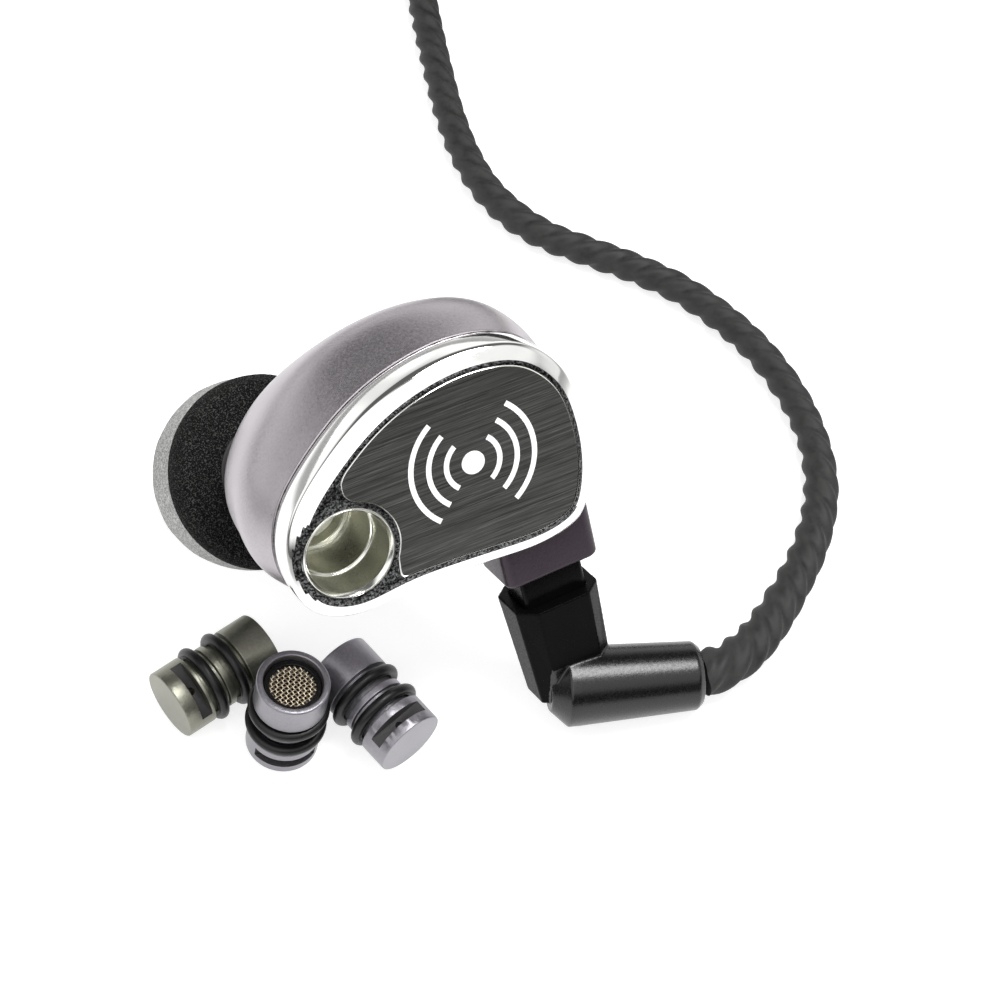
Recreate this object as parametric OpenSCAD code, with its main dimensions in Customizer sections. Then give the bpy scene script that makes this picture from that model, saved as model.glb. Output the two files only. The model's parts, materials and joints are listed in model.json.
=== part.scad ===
// In-ear monitor: one earpiece with a foam tip, its plug-in cable and three
// loose vent modules, laid out on a table. Millimetres, +Z up, table at z = 0.
//
// The earpiece is drawn in its own "face" frame: the origin is the middle of
// the faceplate, +X runs along the faceplate's straight edge away from the
// module socket, +Y runs away from the cable plug, and +Z points out of the
// faceplate. in_ear() stands that frame on the table.

/* [Earpiece] */
// Height of the faceplate's middle above the table
face_height = 22.3; // [21.5:0.1:24]
// Thickness of the machined shell wall
wall = 0.8; // [0.7:0.05:1]
// Depth of the bright bezel's outer band
bezel_depth = 2.9; // [2.7:0.1:3]
// Width of the bezel's rounded border around the inlay
bezel_border = 1.2; // [1.1:0.05:1.4]

/* [Module socket] */
// Inner diameter of the socket that takes a vent module
socket_d = 4.92; // [4.86:0.01:5]
// Depth of the parallel bore
socket_depth = 6.2; // [6:0.1:6.6]

/* [Vent modules] */
// Diameter of a module's metal body
module_d = 4.7; // [4.5:0.05:4.8]
// Length of a module
module_len = 7.4; // [7:0.1:7.6]
// Outer diameter of a module's O-rings
ring_d = 5.25; // [5.1:0.05:5.3]

/* [Ear tip] */
// Outer diameter of the foam tip at its base
tip_d = 12.8; // [12:0.1:13]
// Length of the foam tip
tip_len = 9.6; // [9:0.1:10]
// Distance that the tip is pulled to come off the nozzle
tip_travel = 6; // [5:0.5:7]

/* [Cable] */
// Pin diameter of the two-pin plug
pin_d = 0.78; // [0.76:0.01:0.8]
// Spacing of the two pins
pin_pitch = 2.4; // [2.2:0.1:2.6]
// Diameter of the shaped ear-hook sleeve
hook_d = 2.6; // [2.4:0.1:2.8]
// Diameter of the twisted cable beyond the sleeve
cable_d = 2; // [1.8:0.1:2.2]
// Diameter of the headphone jack's contacts
jack_d = 3.5; // [3.49:0.01:3.51]

/* [Hidden] */
$fn = 48;

// ---- frames -----------------------------------------------------------------

// The part's origin on the table: middle of the box around everything but the cord
table_middle = [-5, -9.7, 0];
// Where the face frame stands on the table, and how it is turned
face_at = [-1.6, -14, face_height];
face_turn = [64.5, 5.4, 25.4];
// Nozzle: its root in the face frame, and its turn away from straight back
nozzle_at = [-6.9, -4.6, -15.1];
nozzle_turn = [-24, 4, 0];
// Plug: the middle of the two-pin boss's end in the face frame, and its turn
plug_at = [5.1, -10, -3.6];
plug_turn = [0, 0, 6];

function turn_x(a, p) = [p.x, p.y * cos(a) - p.z * sin(a), p.y * sin(a) + p.z * cos(a)];
function turn_y(a, p) = [p.x * cos(a) + p.z * sin(a), p.y, p.z * cos(a) - p.x * sin(a)];
function turn_z(a, p) = [p.x * cos(a) - p.y * sin(a), p.x * sin(a) + p.y * cos(a), p.z];
function turned(r, p) = turn_z(r.z, turn_y(r.y, turn_x(r.x, p)));
function ear_to_table(p) = face_at + turned(face_turn, p);

module on_table() { translate(-table_middle) children(); }
module in_ear() { on_table() translate(face_at) rotate(face_turn) children(); }
module at_nozzle() { in_ear() translate(nozzle_at) rotate(nozzle_turn) mirror([0, 0, 1]) children(); }
module at_plug() { in_ear() translate(plug_at) rotate(plug_turn) rotate([90, 0, 0]) children(); }

// ---- curves and lofts ---------------------------------------------------------

function spline(a, b, c, d, t) =
    0.5 * (2 * b + (c - a) * t + (2 * a - 5 * b + 4 * c - d) * t * t
    + (3 * b - a - 3 * c + d) * t * t * t);
function closed_curve(p, m) =
    let (n = len(p))
    [for (i = [0 : n - 1]) for (j = [0 : m - 1])
        spline(p[(i + n - 1) % n], p[i], p[(i + 1) % n], p[(i + 2) % n], j / m)];
function open_curve(p, m) =
    let (n = len(p))
    [for (i = [0 : n - 2]) for (j = [0 : m - 1])
        spline(p[max(i - 1, 0)], p[i], p[i + 1], p[min(i + 2, n - 1)], j / m), p[n - 1]];
function unit(v) = v / norm(v);
function grown(c, d) =
    let (n = len(c))
    [for (i = [0 : n - 1])
        let (t = unit(c[(i + 1) % n] - c[(i + n - 1) % n]))
        c[i] + d * [-t.y, t.x]];
function at_z(c, z) = [for (q = c) [q.x, q.y, z]];
function path_way(p, i) = unit(p[min(i + 1, len(p) - 1)] - p[max(i - 1, 0)]);
function round_ring(p, i, r, up, sides) =
    let (t = path_way(p, i), a = unit(cross(t, up)), b = cross(t, a))
    [for (k = [0 : sides - 1]) p[i] + r * (cos(360 * k / sides) * a + sin(360 * k / sides) * b)];

module loft(rings) {
    n = len(rings[0]);
    last = len(rings) - 1;
    polyhedron(
        points = [for (r = rings) for (q = r) q],
        faces = concat(
            [[for (i = [0 : n - 1]) i]],
            [[for (i = [n - 1 : -1 : 0]) last * n + i]],
            [for (k = [0 : last - 1]) for (i = [0 : n - 1])
                [k * n + i, (k + 1) * n + i, (k + 1) * n + (i + 1) % n]],
            [for (k = [0 : last - 1]) for (i = [0 : n - 1])
                [k * n + i, (k + 1) * n + (i + 1) % n, k * n + (i + 1) % n]]
        ),
        convexity = 6
    );
}

module tube(path, r, up = [0, 0, 1], sides = 8) {
    loft([for (i = [0 : len(path) - 1]) round_ring(path, i, r, up, sides)]);
}

module ring(r_out, r_in, h) {
    difference() {
        cylinder(r = r_out, h = h);
        translate([0, 0, -1]) cylinder(r = r_in, h = h + 2);
    }
}

module rounded_bar(size, r) {
    linear_extrude(size.z) rounded_box(size.x, size.y, r);
}

module rounded_box(w, d, r) {
    polygon([for (q = [[1, 1, 0], [-1, 1, 90], [-1, -1, 180], [1, -1, 270]]) for (a = [0 : 22.5 : 90])
        [q.x * (w / 2 - r) + r * cos(q.z + a), q.y * (d / 2 - r) + r * sin(q.z + a)]]);
}

// ---- faceplate ------------------------------------------------------------------

// Outer edge of the bezel, clockwise from the socket end
rim_points = [
    [-12.3, -3.7], [-11.6, -0.6], [-9.4, 2.2], [-6.3, 4.8], [-2.8, 6.4], [0.9, 7],
    [4.4, 6.3], [6.9, 3.9], [7.9, 0.7], [8, -2.8], [7, -5.8], [4.2, -7], [0, -7.1],
    [-4.4, -7.2], [-8.4, -7.8], [-11.3, -6.6]
];
rim = closed_curve(rim_points, 3);
socket_at = [-8.5, -3.4];
inlay_thick = 0.5;
plate_thick = 1.2;
socket_wall_r = socket_d / 2 + 0.44;
socket_step = 0.17;

module inlay_outline(gap) {
    difference() {
        polygon(grown(rim, gap - bezel_border));
        translate(socket_at) circle(r = socket_wall_r + 0.4 - gap);
        translate([-12, -9]) square([6.5 - gap, 4.8]);
        translate([-12, -1]) square([3.35 - gap, 3.4]);
    }
}

module bezel() {
    // [how far the edge stands inside the rim, depth below the faceplate]
    section = [[-1.2, 0], [-0.75, 0.05], [-0.35, 0.3], [-0.1, 0.75], [0, 1.3], [0, 1.9], [-0.1, bezel_depth]];
    color("silver") difference() {
        in_ear() loft([for (s = section) at_z(grown(rim, s[0]), -s[1])]);
        in_ear() translate([0, 0, -inlay_thick - 0.02]) linear_extrude(2) inlay_outline(0.02);
        in_ear() translate([0, 0, -bezel_depth - 1]) linear_extrude(bezel_depth + 1 - plate_thick)
            polygon(grown(rim, -1));
        in_ear() translate([socket_at.x, socket_at.y, -bezel_depth - 1])
            cylinder(r = socket_wall_r + 0.01, h = 4);
        boss_notch();
    }
}

module faceplate_inlay() {
    color("dimgray") in_ear() translate([0, 0, -inlay_thick])
        linear_extrude(inlay_thick) inlay_outline(0);
}

// Generic sound-wave mark: a dot with three pairs of arcs
module emblem() {
    arc_width = 0.34;
    half_angle = 52;
    color("white") in_ear() linear_extrude(0.03) {
        circle(r = 0.75);
        for (r = [1.75, 2.9, 4.05]) for (side = [0, 180]) rotate(side)
            polygon(concat(
                [for (a = [-half_angle : 4 : half_angle]) (r + arc_width / 2) * [cos(a), sin(a)]],
                [for (a = [half_angle : -4 : -half_angle]) (r - arc_width / 2) * [cos(a), sin(a)]]
            ));
    }
}

// Stepped sleeve that a vent module plugs into
module module_socket() {
    step_depth = 2.7;
    port_r = 0.9;
    end_z = -socket_depth - 1.6;
    color("silver") in_ear() translate([socket_at.x, socket_at.y, 0]) difference() {
        translate([0, 0, end_z]) cylinder(r = socket_wall_r, h = -end_z);
        translate([0, 0, -socket_depth]) cylinder(r = socket_d / 2, h = socket_depth + 1);
        translate([0, 0, -step_depth]) cylinder(r = socket_d / 2 + socket_step, h = step_depth + 1);
        translate([0, 0, -socket_depth - 1]) cylinder(r = socket_d / 2 - 0.31, h = 2);
        translate([0, 0, end_z - 1]) cylinder(r = port_r, h = 4);
        translate([0, 0, -0.25]) cylinder(r1 = socket_d / 2 + 0.16, r2 = socket_d / 2 + 0.35, h = 0.26);
    }
}

module shell_gasket() {
    color("black") difference() {
        in_ear() translate([0, 0, -bezel_depth - gasket_thick]) linear_extrude(gasket_thick) difference() {
            polygon(grown(rim, -0.15));
            polygon(grown(rim, -0.8));
        }
        boss_notch();
    }
}

// ---- rear shell --------------------------------------------------------------------

gasket_thick = 0.2;
shell_front = bezel_depth + gasket_thick;
// [depth behind the faceplate, scale of the rim, shift in x, shift in y, roundness]
shell_sections = [
    [0, 1, 0, 0, 0], [1.2, 1.02, -0.2, 0.2, 0], [3, 1.05, -0.4, 0.5, 0], [5, 1.02, -0.6, 0.6, 0.1],
    [7, 0.94, -1.3, -0.2, 0.2], [8.8, 0.81, -2.4, -1.1, 0.4], [10.4, 0.66, -3.3, -2, 0.6],
    [11.8, 0.52, -3.9, -2.8, 0.8], [13, 0.41, -4.6, -3.8, 1]
];
rim_middle = [-2.1, -0.6];
rim_radius = 8.4;

function shell_ring(s, inset) =
    let (c = grown(rim, -inset / max(s[1], 0.3)), n = len(c))
    [for (i = [0 : n - 1])
        let (
            v = c[i] - rim_middle,
            round_r = (rim_radius - inset / max(s[1], 0.3)) * unit(v),
            q = rim_middle + s[1] * ((1 - s[4]) * v + s[4] * round_r)
        )
        [q.x + s[2], q.y + s[3], -shell_front - s[0]]];

boss_w = 6.4;
boss_d = 4.4;
boss_len = 5;
contact_block_w = 4.6;
contact_block_d = 2.8;

module boss_block() {
    translate([0, 0, -boss_len]) rounded_bar([boss_w, boss_d, boss_len], 0.7);
}

// Room in the bezel's band for the contact block behind the boss
module boss_notch() {
    at_plug() translate([0, 0, -boss_len - 1])
        rounded_bar([contact_block_w + 0.2, contact_block_d + 0.2, boss_len + 2], 0.4);
}

module rear_shell() {
    inner = [for (s = shell_sections) shell_ring(s, wall)];
    color("#5d545f") difference() {
        union() {
            in_ear() loft([for (s = shell_sections) shell_ring(s, 0.1)]);
            at_plug() boss_block();
        }
        in_ear() loft(concat(
            [[for (q = inner[0]) q + [0, 0, 0.5]]],
            [for (i = [0 : len(inner) - 2]) inner[i]]
        ));
        in_ear() translate([0, 0, -shell_front]) linear_extrude(shell_front + 1) polygon(grown(rim, 0.05));
        at_plug() translate([0, 0, -boss_len - 1])
            rounded_bar([contact_block_w, contact_block_d, boss_len + 2], 0.4);
        at_nozzle() translate([0, 0, -3]) cylinder(r = nozzle_r + 0.05, h = 12);
    }
}

// ---- nozzle and ear tip ----------------------------------------------------------------

nozzle_r = 2.4;
nozzle_bore_r = 1.6;
nozzle_len = 9.4;
// Height of the nozzle's retaining lip, and how far along the nozzle the tip starts
lip = 0.3;
tip_start = 3.1;
tip_core_r = 3.3;

module nozzle() {
    color("#5d545f") at_nozzle() difference() {
        union() {
            translate([0, 0, -0.6]) cylinder(r = nozzle_r, h = nozzle_len - 0.4);
            translate([0, 0, nozzle_len - 1.8]) cylinder(r1 = nozzle_r, r2 = nozzle_r + lip, h = 0.4);
            translate([0, 0, nozzle_len - 1.4]) cylinder(r = nozzle_r + lip, h = 0.8);
            translate([0, 0, nozzle_len - 0.6]) cylinder(r1 = nozzle_r + lip, r2 = nozzle_r, h = 0.6);
        }
        translate([0, 0, -2]) cylinder(r = nozzle_bore_r, h = nozzle_len + 4);
        translate([0, 0, nozzle_len - 0.5]) cylinder(r = 2, h = 1);
    }
}

module nozzle_screen() {
    color("gray") at_nozzle() translate([0, 0, nozzle_len - 0.5]) difference() {
        cylinder(r = 1.98, h = 0.15);
        for (a = [0 : 60 : 300]) rotate(a) translate([1.1, 0, -1]) cylinder(r = 0.3, h = 2);
        translate([0, 0, -1]) cylinder(r = 0.3, h = 2);
    }
}

module acoustic_damper() {
    color("seagreen") at_nozzle() translate([0, 0, 5]) ring(nozzle_bore_r - 0.02, 0.7, 1.6);
}

module tip_core() {
    color("#3a3a3c") at_nozzle() translate([0, 0, tip_start]) difference() {
        cylinder(r = tip_core_r, h = tip_len - 1.2);
        translate([0, 0, -1]) cylinder(r = nozzle_r + lip + 0.05, h = nozzle_len - tip_start + 1.25);
        translate([0, 0, 1]) cylinder(r = nozzle_r + 0.05, h = tip_len);
    }
}

// Radius of the foam along its length: full near the base, rounded at the front
function foam_r(z) = let (u = z / tip_len) tip_d / 2 * (u < 0.12 ? 0.93 + 0.07 * sin(750 * u)
    : u < 0.45 ? 1 : 1 - 0.36 * (1 - cos(90 * (u - 0.45) / 0.55)));

module foam_profile(z0, z1) {
    steps = 10;
    rotate_extrude() polygon(concat(
        [[tip_core_r + 0.02, z0]],
        [for (i = [0 : steps]) let (z = z0 + (z1 - z0) * i / steps) [foam_r(z), z]],
        [[tip_core_r + 0.02, z1]]
    ));
}

rear_foam_len = 1.6;

module foam_rear() {
    color("#19191a") at_nozzle() translate([0, 0, tip_start]) foam_profile(0, rear_foam_len);
}

module foam_front() {
    color("#9b9b9d") at_nozzle() translate([0, 0, tip_start]) foam_profile(rear_foam_len, tip_len);
}

// ---- inside the earpiece -----------------------------------------------------------------

module driver_can(size) {
    translate([0, 0, -size.z / 2]) rounded_bar(size, 0.4);
}

bass_at = [2.2, 0.4, -6.9];
mid_at = [-4.7, 1.8, -7.2];
high_at = [-4.5, -2.4, -11.2];

module bass_driver() {
    color("gainsboro") in_ear() translate(bass_at) driver_can([6.8, 5.8, 3.2]);
}

module mid_driver() {
    color("gainsboro") in_ear() translate(mid_at) rotate(20) driver_can([4.6, 5, 2.8]);
}

module high_driver() {
    color("gainsboro") in_ear() translate(high_at) driver_can([4, 2.6, 1.8]);
}

module driver_spouts() {
    color("gray") in_ear() {
        translate(bass_at + [-2.6, -2, -2.4]) cylinder(r = 0.6, h = 0.8);
        translate(mid_at + [0, -1, -2.2]) cylinder(r = 0.6, h = 0.8);
        translate(high_at + [-1.2, -0.6, -1.8]) cylinder(r = 0.5, h = 0.8);
    }
}

module sound_tubes() {
    color("lightblue") in_ear() {
        tube(open_curve([bass_at + [-2.6, -2, -2.5], bass_at + [-2.7, -2.1, -3.4], [-2, -4.2, -12.2],
            [-5.4, -4.6, -14]], 3), 0.5, [1, 0, 0]);
        tube(open_curve([mid_at + [0, -1, -2.3], mid_at + [-0.6, -1, -3.4], [-7.4, -0.8, -12.6],
            [-7.6, -4, -14.4]], 3), 0.5, [1, 0, 0]);
    }
}

module crossover_board() {
    color("darkgreen") in_ear() translate([1.4, 0.6, -3.8]) rounded_bar([8.4, 7.6, 0.6], 0.6);
}

module crossover_parts() {
    color("tan") in_ear() for (q = [[-1.2, 2.4], [0.8, 2.4], [3.4, 2.2], [3.2, -1.2], [-0.8, -1.4]])
        translate([q.x, q.y, -4.6]) rounded_bar([1.4, 0.9, 0.8], 0.15);
}

module driver_bracket() {
    color("slategray") in_ear() translate([1.4, 0.6, -5.2]) difference() {
        rounded_bar([8.6, 7.8, 0.4], 0.6);
        translate([0, 0, -1]) rounded_bar([5.4, 4.4, 3], 0.6);
    }
}

module socket_insulator() {
    color("black") at_plug() translate([0, 0, -boss_len - 0.4]) difference() {
        rounded_bar([contact_block_w - 0.02, contact_block_d - 0.02, boss_len + 0.3], 0.4);
        for (x = [-1, 1]) translate([x * pin_pitch / 2, 0, -1]) cylinder(r = 0.6, h = boss_len + 3);
    }
}

module socket_contacts() {
    color("gold") at_plug() for (x = [-1, 1]) translate([x * pin_pitch / 2, 0, -boss_len - 0.8])
        ring(0.6, pin_d / 2 + 0.03, boss_len + 0.6);
}

module hookup_wires() {
    color("firebrick") in_ear() for (x = [-1, 1]) {
        start = plug_at + turned(plug_turn, [x * pin_pitch / 2, boss_len + 0.8, 0]);
        tube(open_curve([start, start + [-0.2, 0.3, 0.2], start + [-0.6, 0.4, 0.3],
            [3 + x, -3.5, -3.5]], 3), 0.2, [0, 0, 1], 6);
    }
}

// ---- plug and cable ---------------------------------------------------------------------

plug_top = 2.1;
elbow_reach = 9.7;
// The plug's barrel: its radius at the elbow and at the cable end, and how far its chamfered
// heel reaches past the elbow
barrel_r = 2.5;
barrel_end_r = 2.25;
barrel_heel = 1.7;
heel_chamfer = 1.1;
elbow = ear_to_table(plug_at + turned(plug_turn, [0, -elbow_reach, 0]));
barrel_end = [12.9, -16, 2.4];
barrel_way = unit(barrel_end - elbow);
barrel_len = norm(barrel_end - elbow);

// Share of the housing's width and thickness that is left at the elbow
plug_taper = [0.86, 0.8];

module plug_section(w, d, c) {
    polygon([[w / 2 - c, d / 2], [w / 2, d / 2 - c], [w / 2, c - d / 2], [w / 2 - c, -d / 2],
        [c - w / 2, -d / 2], [-w / 2, c - d / 2], [-w / 2, d / 2 - c], [c - w / 2, d / 2]]);
}

module along_barrel() {
    on_table() translate(elbow) rotate([0, acos(barrel_way.z), atan2(barrel_way.y, barrel_way.x)]) children();
}

module plug_housing() {
    color("#1c1c1e") {
        at_plug() difference() {
            translate([0, 0, plug_top]) linear_extrude(elbow_reach - plug_top, scale = plug_taper)
                plug_section(5.8, 4.9, 1.1);
            translate([0, 0, plug_top - 1]) rounded_bar([4.32, 2.92, 2.5], 0.3);
        }
        along_barrel() {
            translate([0, 0, -barrel_heel])
                cylinder(r1 = barrel_r - heel_chamfer, r2 = barrel_r, h = heel_chamfer);
            translate([0, 0, heel_chamfer - barrel_heel])
                cylinder(r = barrel_r, h = barrel_heel - heel_chamfer);
            cylinder(r1 = barrel_r, r2 = barrel_end_r, h = barrel_len - 0.4);
            translate([0, 0, barrel_len - 0.4]) cylinder(r1 = barrel_end_r, r2 = barrel_end_r - 0.35, h = 0.4);
        }
    }
}

module plug_neck() {
    color("black") at_plug() translate([0, 0, 0.1]) difference() {
        rounded_bar([4.3, 2.9, plug_top + 1.3], 0.3);
        for (x = [-1, 1]) translate([x * pin_pitch / 2, 0, -1]) cylinder(r = pin_d / 2, h = 8);
    }
}

module plug_pins() {
    color("gold") at_plug() for (x = [-1, 1]) translate([x * pin_pitch / 2, 0, -4.9])
        cylinder(r = pin_d / 2, h = plug_top + 6.2);
}

// Centre line of the shaped sleeve over the ear, from the plug's end
hook_route = [
    [12.9, -16, 2.4], [14.9, -14.9, 2.1], [16.9, -12.7, 1.7], [18.9, -9.3, 1.4], [20.8, -5.2, 1.3],
    [21.9, -1, 1.3], [21.9, 3.2, 1.3], [20.8, 7.6, 1.3], [18.7, 11.9, 1.3], [16, 15.4, 1.3],
    [13, 18.2, 1.3], [9.6, 20.3, 1.3], [6.3, 21.9, 1.3], [3.4, 23.4, 1.3], [1, 25.4, 1.3],
    [-1.1, 28.2, 1.3], [-2.7, 31.8, 1.3], [-3.9, 36, 1.3], [-4.8, 40.5, 1.3], [-5.6, 45, 1.3],
    [-6.4, 50, 1.3]
];
// Centre line of the bare cable from the sleeve to the coil
lead_route = [[-6.4, 50, 1.3], [-7.4, 55, 1.4], [-8.6, 60, 1.5], [-9.6, 65, 1.5], [-10, 70, 1.5]];
// Coil: its middle on the table, its inner and outer radius and its height
coil_at = [6, 70, 0.5];
coil_r_in = 7;
coil_r_out = 17;
coil_h = 8;
// Centre line of the tail from the coil to the jack
tail_route = [
    [-9.455, 74.141, 7.5], [-8.6, 78.3, 7.4], [-6.7, 82.4, 6.6], [-3.9, 86.2, 5.3], [-0.4, 89.1, 4],
    [3.2, 90.4, 3.2], [7, 90.7, 2.9]
];

module ear_hook_sleeve() {
    color("#2b2c2d") on_table() tube(open_curve(hook_route, 1), hook_d / 2);
}

module cable() {
    color("#2b2c2d") on_table() {
        tube(open_curve(lead_route, 1), cable_d / 2);
        tube(open_curve(tail_route, 1), cable_d / 2);
    }
}

module cable_coil() {
    color("#2b2c2d") on_table() translate(coil_at) rotate_extrude()
        translate([(coil_r_in + coil_r_out) / 2, coil_h / 2])
            rounded_box(coil_r_out - coil_r_in, coil_h, 0.9);
}

module coil_tie() {
    strap_w = 4;
    strap = 0.5;
    gap = 0.35;
    color("black") on_table() translate(coil_at + [12, 0, coil_h / 2]) difference() {
        cube([10 + 2 * gap + 2 * strap, strap_w, coil_h + 2 * strap], center = true);
        cube([10 + 2 * gap, strap_w + 2, coil_h], center = true);
    }
}

// ---- headphone jack -----------------------------------------------------------------------

jack_at = [7, 90.7, 2.9];

module at_jack(x) { on_table() translate(jack_at + [x, 0, 0]) rotate([0, 90, 0]) children(); }

module jack_strain_relief() {
    color("#1c1c1e") at_jack(0) cylinder(r1 = 1.4, r2 = 2, h = 6);
}

module jack_barrel() {
    color("#2a2a2c") at_jack(6) {
        cylinder(r = 2.7, h = 12);
        translate([0, 0, 12]) cylinder(r1 = 2.7, r2 = 2.4, h = 0.6);
    }
}

module jack_part(x, len) { at_jack(18.6 + x) cylinder(r = jack_d / 2, h = len); }

module jack_sleeve() { color("gold") jack_part(0, 7); }
module jack_ring() { color("gold") jack_part(7.6, 2.2); }
module jack_insulators() {
    color("black") { jack_part(7, 0.6); jack_part(9.8, 0.6); }
}
module jack_tip() {
    color("gold") at_jack(18.6 + 10.4) {
        cylinder(r1 = jack_d / 2, r2 = 1.2, h = 1);
        translate([0, 0, 1]) cylinder(r1 = 1.2, r2 = 1.6, h = 0.8);
        translate([0, 0, 1.8]) cylinder(r1 = 1.6, r2 = 0.7, h = 1.8);
    }
}

// ---- vent modules ------------------------------------------------------------------------

// Each module's own frame: +Z from the closed end to the mesh end, origin at the closed face,
// and +X through its vent slot. [place, tilt and heading, roll about its own axis]
module_poses = [
    [[-21.2, -18.5, 2.65], [0, 90, 39], -150],
    [[-14.1, -19.7, 0.41], [0, 9.8, -14], -69],
    [[-5.7, -21.2, 2.36], [0, 82, 132], 171]
];
closed_len = 2;
ring_zone = 3.1;
groove_r = 1.9;
// Vent slot across the closed end, and the vent hole in its floor
slot_z = 0.65;
slot_w = 0.8;
slot_floor = 1.35;
vent_z = 1;

module at_module(i) {
    on_table() translate(module_poses[i][0]) rotate(module_poses[i][1])
        rotate(module_poses[i][2]) children();
}

module module_body(i, tone, shift = 0) {
    color(tone) at_module(i) difference() {
        rotate_extrude() polygon([
            [0, 0], [module_d / 2 - 0.15, 0], [module_d / 2, 0.15], [module_d / 2, closed_len],
            [groove_r, closed_len], [groove_r, closed_len + 1.3], [2.15, closed_len + 1.35],
            [2.15, closed_len + 1.75], [groove_r, closed_len + 1.8], [groove_r, closed_len + ring_zone],
            [module_d / 2, closed_len + ring_zone], [module_d / 2, module_len - 0.35],
            [module_d / 2 - 0.25, module_len], [1.95, module_len], [1.85, module_len - 0.8],
            [1.2, module_len - 0.8], [1.2, 1.8], [0.4, 1.8], [0.4, vent_z], [0, vent_z]
        ]);
        translate([slot_floor, -module_d, slot_z + shift]) cube([module_d, 2 * module_d, slot_w]);
        translate([0, 0, vent_z + shift]) rotate([0, 90, 0]) cylinder(r = 0.25, h = module_d);
    }
}

module module_o_rings(i) {
    cord_r = (ring_d / 2 - groove_r) / 2;
    color("#151515") at_module(i) for (z = [closed_len + 0.65, closed_len + ring_zone - 0.65])
        translate([0, 0, z]) rotate_extrude() translate([groove_r + cord_r, 0]) circle(r = cord_r - 0.01, $fn = 24);
}

module module_cap_ring(i) {
    color("#101010") at_module(i) translate([0, 0, module_len - 0.8]) ring(1.84, 1.5, 0.35);
}

module module_mesh(i) {
    color("darkkhaki") at_module(i) translate([0, 0, module_len - 0.7]) cylinder(r = 1.49, h = 0.12);
}

// ---- nodes ----------------------------------------------------------------------------------

rear_shell();
bezel();
faceplate_inlay();
emblem();
module_socket();
shell_gasket();
nozzle();
nozzle_screen();
acoustic_damper();
driver_bracket();
bass_driver();
mid_driver();
high_driver();
driver_spouts();
sound_tubes();
crossover_board();
crossover_parts();
hookup_wires();
socket_insulator();
socket_contacts();
tip_core();
foam_front();
foam_rear();
plug_housing();
plug_neck();
plug_pins();
ear_hook_sleeve();
cable();
cable_coil();
coil_tie();
jack_strain_relief();
jack_barrel();
jack_sleeve();
jack_ring();
jack_tip();
jack_insulators();
module_body(0, "#6f705f", 0.3);  // module_a_body
module_o_rings(0);  // module_a_o_rings
module_cap_ring(0);  // module_a_cap_ring
module_mesh(0);  // module_a_mesh
module_body(1, "#77757d");  // module_b_body
module_o_rings(1);  // module_b_o_rings
module_cap_ring(1);  // module_b_cap_ring
module_mesh(1);  // module_b_mesh
module_body(2, "#77757d");  // module_c_body
module_o_rings(2);  // module_c_o_rings
module_cap_ring(2);  // module_c_cap_ring
module_mesh(2);  // module_c_mesh
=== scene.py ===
"""Looks of an in-ear monitor, its cable and three vent modules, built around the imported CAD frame.

Shapes are worked out in millimetres in the part's own frame, and become metres as each mesh is made.
"""
import json
import math

import bmesh
import bpy
from mathutils import Euler, Matrix, Vector, noise

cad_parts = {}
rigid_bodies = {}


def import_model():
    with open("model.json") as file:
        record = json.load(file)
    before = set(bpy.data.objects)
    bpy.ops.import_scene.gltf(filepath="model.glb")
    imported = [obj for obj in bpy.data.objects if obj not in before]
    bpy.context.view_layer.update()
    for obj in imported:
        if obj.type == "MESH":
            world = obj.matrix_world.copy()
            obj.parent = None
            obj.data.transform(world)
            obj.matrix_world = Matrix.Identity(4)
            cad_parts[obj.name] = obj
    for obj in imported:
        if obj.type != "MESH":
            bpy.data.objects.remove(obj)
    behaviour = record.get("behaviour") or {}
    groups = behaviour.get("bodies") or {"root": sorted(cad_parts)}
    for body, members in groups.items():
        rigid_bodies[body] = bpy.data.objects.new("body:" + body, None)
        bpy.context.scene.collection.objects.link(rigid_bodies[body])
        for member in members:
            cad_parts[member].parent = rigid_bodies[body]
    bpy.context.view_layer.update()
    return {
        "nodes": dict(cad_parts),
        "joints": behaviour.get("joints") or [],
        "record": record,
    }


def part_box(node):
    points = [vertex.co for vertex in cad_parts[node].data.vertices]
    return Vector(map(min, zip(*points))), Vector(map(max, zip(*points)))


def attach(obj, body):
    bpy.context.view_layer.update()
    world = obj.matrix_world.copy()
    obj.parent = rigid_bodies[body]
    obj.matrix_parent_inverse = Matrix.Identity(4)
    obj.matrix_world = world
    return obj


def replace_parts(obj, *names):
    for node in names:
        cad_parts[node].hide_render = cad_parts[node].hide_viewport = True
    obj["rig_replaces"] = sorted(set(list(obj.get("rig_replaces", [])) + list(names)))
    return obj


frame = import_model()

MM = 0.001
NODES = frame["nodes"]
MOUNTS = {m["name"]: m for m in frame["record"]["mounts"]}
JOINTS = {j["name"]: j for j in frame["joints"]}

# ---- frames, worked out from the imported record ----

SOCKET_AT = (-8.5, -3.4)          # middle of the module socket on the faceplate
BORE_MID = 4.45                   # depth of the bore mount's middle behind the faceplate
PLUG_TURN = math.radians(6)       # how far the plug's axis is turned on the faceplate
PLUG_AT = (5.1, -10, -3.6)        # middle of the boss's end, in the face frame
TIP_START, TIP_LEN, TIP_D = 3.1, 9.6, 12.8


def axes(x, y, z, origin):
    matrix = Matrix((x, y, z)).transposed().to_4x4()
    matrix.translation = origin
    return matrix


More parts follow.
